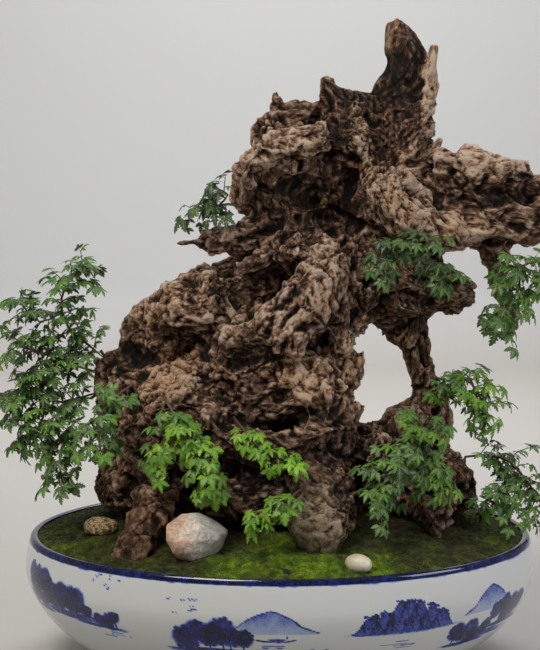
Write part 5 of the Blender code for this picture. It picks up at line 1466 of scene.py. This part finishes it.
def stem_frames(path, spacing, first):
    """Places and directions along a path, at even steps from the first one to the end."""
    found, walked, target = [], 0.0, first
    for a, b in zip(path, path[1:]):
        step = (b - a).length
        while walked + step >= target:
            found.append((a.lerp(b, (target - walked) / step), (b - a).normalized()))
            target += spacing
        walked += step
    return found


# %% [markdown]
# ## The leafy shoots: grown out
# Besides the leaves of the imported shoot, each stem gets short side twigs with smaller leaves, which give the
# dense tufts of a trimmed bonsai. They could be placed by a particle system, but particles are lost when the
# model is exported. Successive twigs turn by the golden angle, so that they never line up. A side twig or its
# leaf that would enter the wood, the soil, the basin or a stone is left out, and so is one that would leave
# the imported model's box.

# %% Grow the shoots
TUFT_STEP = 0.0052
TUFT_REACH = (0.014, 0.046)
TWIG_SHARES = {"front_left_shoot": 0.60, "front_middle_shoot": 0.34, "low_front_shoot": 0.42,
               "cheek_shoot": 0.70, "arm_front_shoot": 0.70, "spike_shoot": 0.55, "left_upper_shoot": 1.20,
               "left_outer_shoot": 1.10, "left_low_shoot": 1.15, "left_hanging_shoot": 1.0}
USUAL_SHARE = 0.9
GOLDEN_ANGLE = 2.39996
FIRST_SIDE_TWIG = 0.022
TIP_ROOM = 0.012
SIDE_TWIG_RADII = (0.0008, 0.0007, 0.0005)
TWIG_TIP_RADIUS = 0.001
TWIG_LEAF_STEP = 0.0085
FIRST_LEAF_ON_TWIG = 0.006
TWIG_LEAF_SIZES = (0.42, 0.68)
TWIG_STALK_SHARE = 0.6
THINNER = {"spike_shoot": 0.7}
BOX_ROOM = 0.001
FINER_SIZE = 0.80
FIT_LIMIT = 0.0030
BOX_LOW, BOX_HIGH = [Vector(corner) for corner in cad_box]


def free(point, room):
    """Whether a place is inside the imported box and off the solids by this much."""
    inside = all(low + BOX_ROOM < c < high - BOX_ROOM for low, c, high in zip(BOX_LOW, point, BOX_HIGH))
    return inside and all(inside_by(tree, point) < -room for tree in solids)


def packed_leaves(growth, name, number, path, first, tree, tint):
    """Adds the finer leaves of a path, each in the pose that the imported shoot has, and counts them."""
    tip, lean = path[-1], (path[-1] - path[-2]).normalized()
    spots = [(place, along, side) for place, along in stem_frames(path, LEAF_SPACING, first)
             for side in (-1, 1) if (place - tip).length > TIP_ROOM]
    spots.append((tip - lean * 0.001, lean, 0))
    count = 0
    for order, (place, along, side) in enumerate(spots):
        rng = random.Random(f"{name}_{number}_{order}")
        outward = Vector((place.x, place.y - 0.25 * math.copysign(1, -place.y), 0)).normalized()
        tries = [pose(rng, along, side, outward, attempt) for attempt in range(POSE_TRIES)]
        fits = [tips_off(tree, place, *one) for one in tries]
        if min(fits) < FIT_LIMIT:
            heading, facing, size, stalk, kind = tries[fits.index(min(fits))]
            shade = tint + rng.uniform(-0.16, 0.12)
            growth.add_leaf(place, heading, facing, size * FINER_SIZE, stalk, kind, shade)
            count += 1
    return count


def side_twigs(growth, path, thick, share, tint, rng):
    """Short leafy side twigs along a path. Returns their own paths, for their tubes."""
    twigs = []
    for order, (place, along) in enumerate(stem_frames(path, TUFT_STEP, FIRST_SIDE_TWIG)):
        around = along.orthogonal().normalized()
        turn = order * GOLDEN_ANGLE + rng.uniform(-0.4, 0.4)
        outward = around * math.cos(turn) + along.cross(around) * math.sin(turn)
        reach = rng.uniform(*TUFT_REACH) * share
        heading = outward + along * rng.uniform(0.3, 0.9) + Vector((0, 0, rng.uniform(-0.1, 0.5)))
        heading.normalize()
        end = place + heading * reach - Vector((0, 0, 0.12 * reach))
        middle = place + heading * reach * 0.5 + Vector((0, 0, 0.05 * reach))
        if not (free(end, 0.006) and free(middle, 0.003)):
            continue
        twigs.append([place, middle, end])
        dress_twig(growth, twigs[-1], thick, tint + rng.uniform(-0.18, 0.08), rng)
    return twigs


def dress_twig(growth, twig, thick, tint, rng):
    """Leaves along one side twig, alternately left and right, and one at its tip."""
    spots = stem_frames(twig, TWIG_LEAF_STEP / thick, FIRST_LEAF_ON_TWIG)
    spots.append((twig[-1], (twig[-1] - twig[-2]).normalized()))
    for order, (place, along) in enumerate(spots):
        side = 0 if order == len(spots) - 1 else (-1) ** order
        outward = Vector((place.x, place.y - 0.25, 0)).normalized()
        heading, facing, size, stalk, kind = pose(rng, along, side, outward, 2)
        size *= rng.uniform(*TWIG_LEAF_SIZES)
        stalk *= TWIG_STALK_SHARE
        if free(place + heading * (stalk + size), 0.002) and free(place + heading * stalk, 0.002):
            growth.add_leaf(place, heading, facing, size, stalk, kind, tint + rng.uniform(-0.22, 0.14))


def grow(name, tint, laid_shoot):
    """One shoot as one piece: its stem, twigs and leaves, with the values that the leaf's material reads."""
    _, foot, out, paths = laid_shoot
    tree = tree_of(packed[name].data)
    rng = random.Random(name)
    growth = Growth()
    found = 0
    twigs = []
    thick = THINNER.get(name, 1.0)
    for number, path in enumerate(paths):
        first = FIRST_TWIG_LEAF if number else FIRST_LEAF
        found += packed_leaves(growth, name, number, path, first, tree, tint)
        twigs += side_twigs(growth, path, thick, TWIG_SHARES.get(name, USUAL_SHARE), tint, rng)
    leafy = bpy.data.objects.new(name + "_grown", bpy.data.meshes.new(name + "_grown"))
    leafy.data.from_pydata(growth.verts, [], growth.faces)
    scene.collection.objects.link(leafy)
    keep(leafy.data, "tint", np.array(growth.tints))
    keep(leafy.data, "edge", np.array(growth.edges))
    main_path = [foot - out * SOCKET_DEPTH, foot + out * STEM_RISE * 0.5, *paths[0]]
    taper = np.linspace(STEM_RADIUS, TWIG_RADIUS, len(main_path))
    tubes = [tube(main_path, taper.tolist())]
    tubes += [tube(path, np.linspace(TWIG_RADIUS, TWIG_TIP_RADIUS, len(path)).tolist()) for path in paths[1:]]
    tubes += [tube(twig, SIDE_TWIG_RADII, 6) for twig in twigs]
    for piece in tubes:
        keep(piece.data, "tint", np.full(len(piece.data.vertices), -1.0))
        keep(piece.data, "edge", np.zeros(len(piece.data.vertices)))
    bpy.ops.object.select_all(action="DESELECT")
    for piece in (*tubes, leafy):
        piece.select_set(True)
    bpy.context.view_layer.objects.active = leafy
    bpy.ops.object.join()
    bpy.ops.object.shade_smooth()
    print(name, "leaves matched:", found, "side twigs:", len(twigs))
    return leafy


# %% [markdown]
# Young chastetree leaves are thin and satin, a fresh green that is lime on new shoots. Each shoot's tint also
# paints light and shade: limier where light falls, as painted light, and a deep green as painted shade. The
# midrib is paler than the blade, which is faintly mottled every eight millimetres.
# The stems are grey-brown bark. One material does for both, because each shoot is one mesh: a tint below
# zero marks the bark.

# %% Leaf and bark
leaf, tree, shader = material("chastetree_leaf", 0.48)
tint_value = node(tree, "Attribute", {"attribute_name": "tint"})
edge_value = node(tree, "Attribute", {"attribute_name": "edge"})
spot = node(tree, "TexCoord")
mottle = node(tree, "TexNoise", {"Scale": 130.0, "Detail": 3.0}, {"Vector": spot.outputs["Object"]})
push = node(tree, "Math", {"operation": "MULTIPLY_ADD", 1: 0.30, 2: -0.15}, {0: mottle.outputs["Fac"]})
shade = node(tree, "Math", {"operation": "ADD", "use_clamp": True},
             {0: tint_value.outputs["Fac"], 1: push.outputs[0]})
green = node(tree, "ValToRGB",
             {"stops": [(0.05, "#1B2E1A"), (0.30, "#395629"), (0.52, "#517932"), (0.75, "#639222"),
                        (1.0, "#83B526")]}, {0: shade.outputs[0]})
rib = node(tree, "Math", {"operation": "LESS_THAN", 1: 0.13}, {0: edge_value.outputs["Fac"]})
rib_share = node(tree, "Math", {"operation": "MULTIPLY", 1: 0.35}, {0: rib.outputs[0]})
blade = node(tree, "Mix", {"data_type": "RGBA", 7: linear("#A9C46A")},
             {0: rib_share.outputs[0], 6: green.outputs["Color"]})
woody = node(tree, "Math", {"operation": "LESS_THAN", 1: -0.5}, {0: tint_value.outputs["Fac"]})
colour = node(tree, "Mix", {"data_type": "RGBA", 7: linear("#5B4634")},
              {0: woody.outputs[0], 6: blade.outputs[2]})
tree.links.new(colour.outputs[2], shader.inputs["Base Color"])

for name, tint, _ in SHOOTS:
    grown = grow(name, tint, laid[name])
    bpy.data.objects.remove(packed[name])
    coat(grown, leaf)
    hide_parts(name)
    settle(grown)
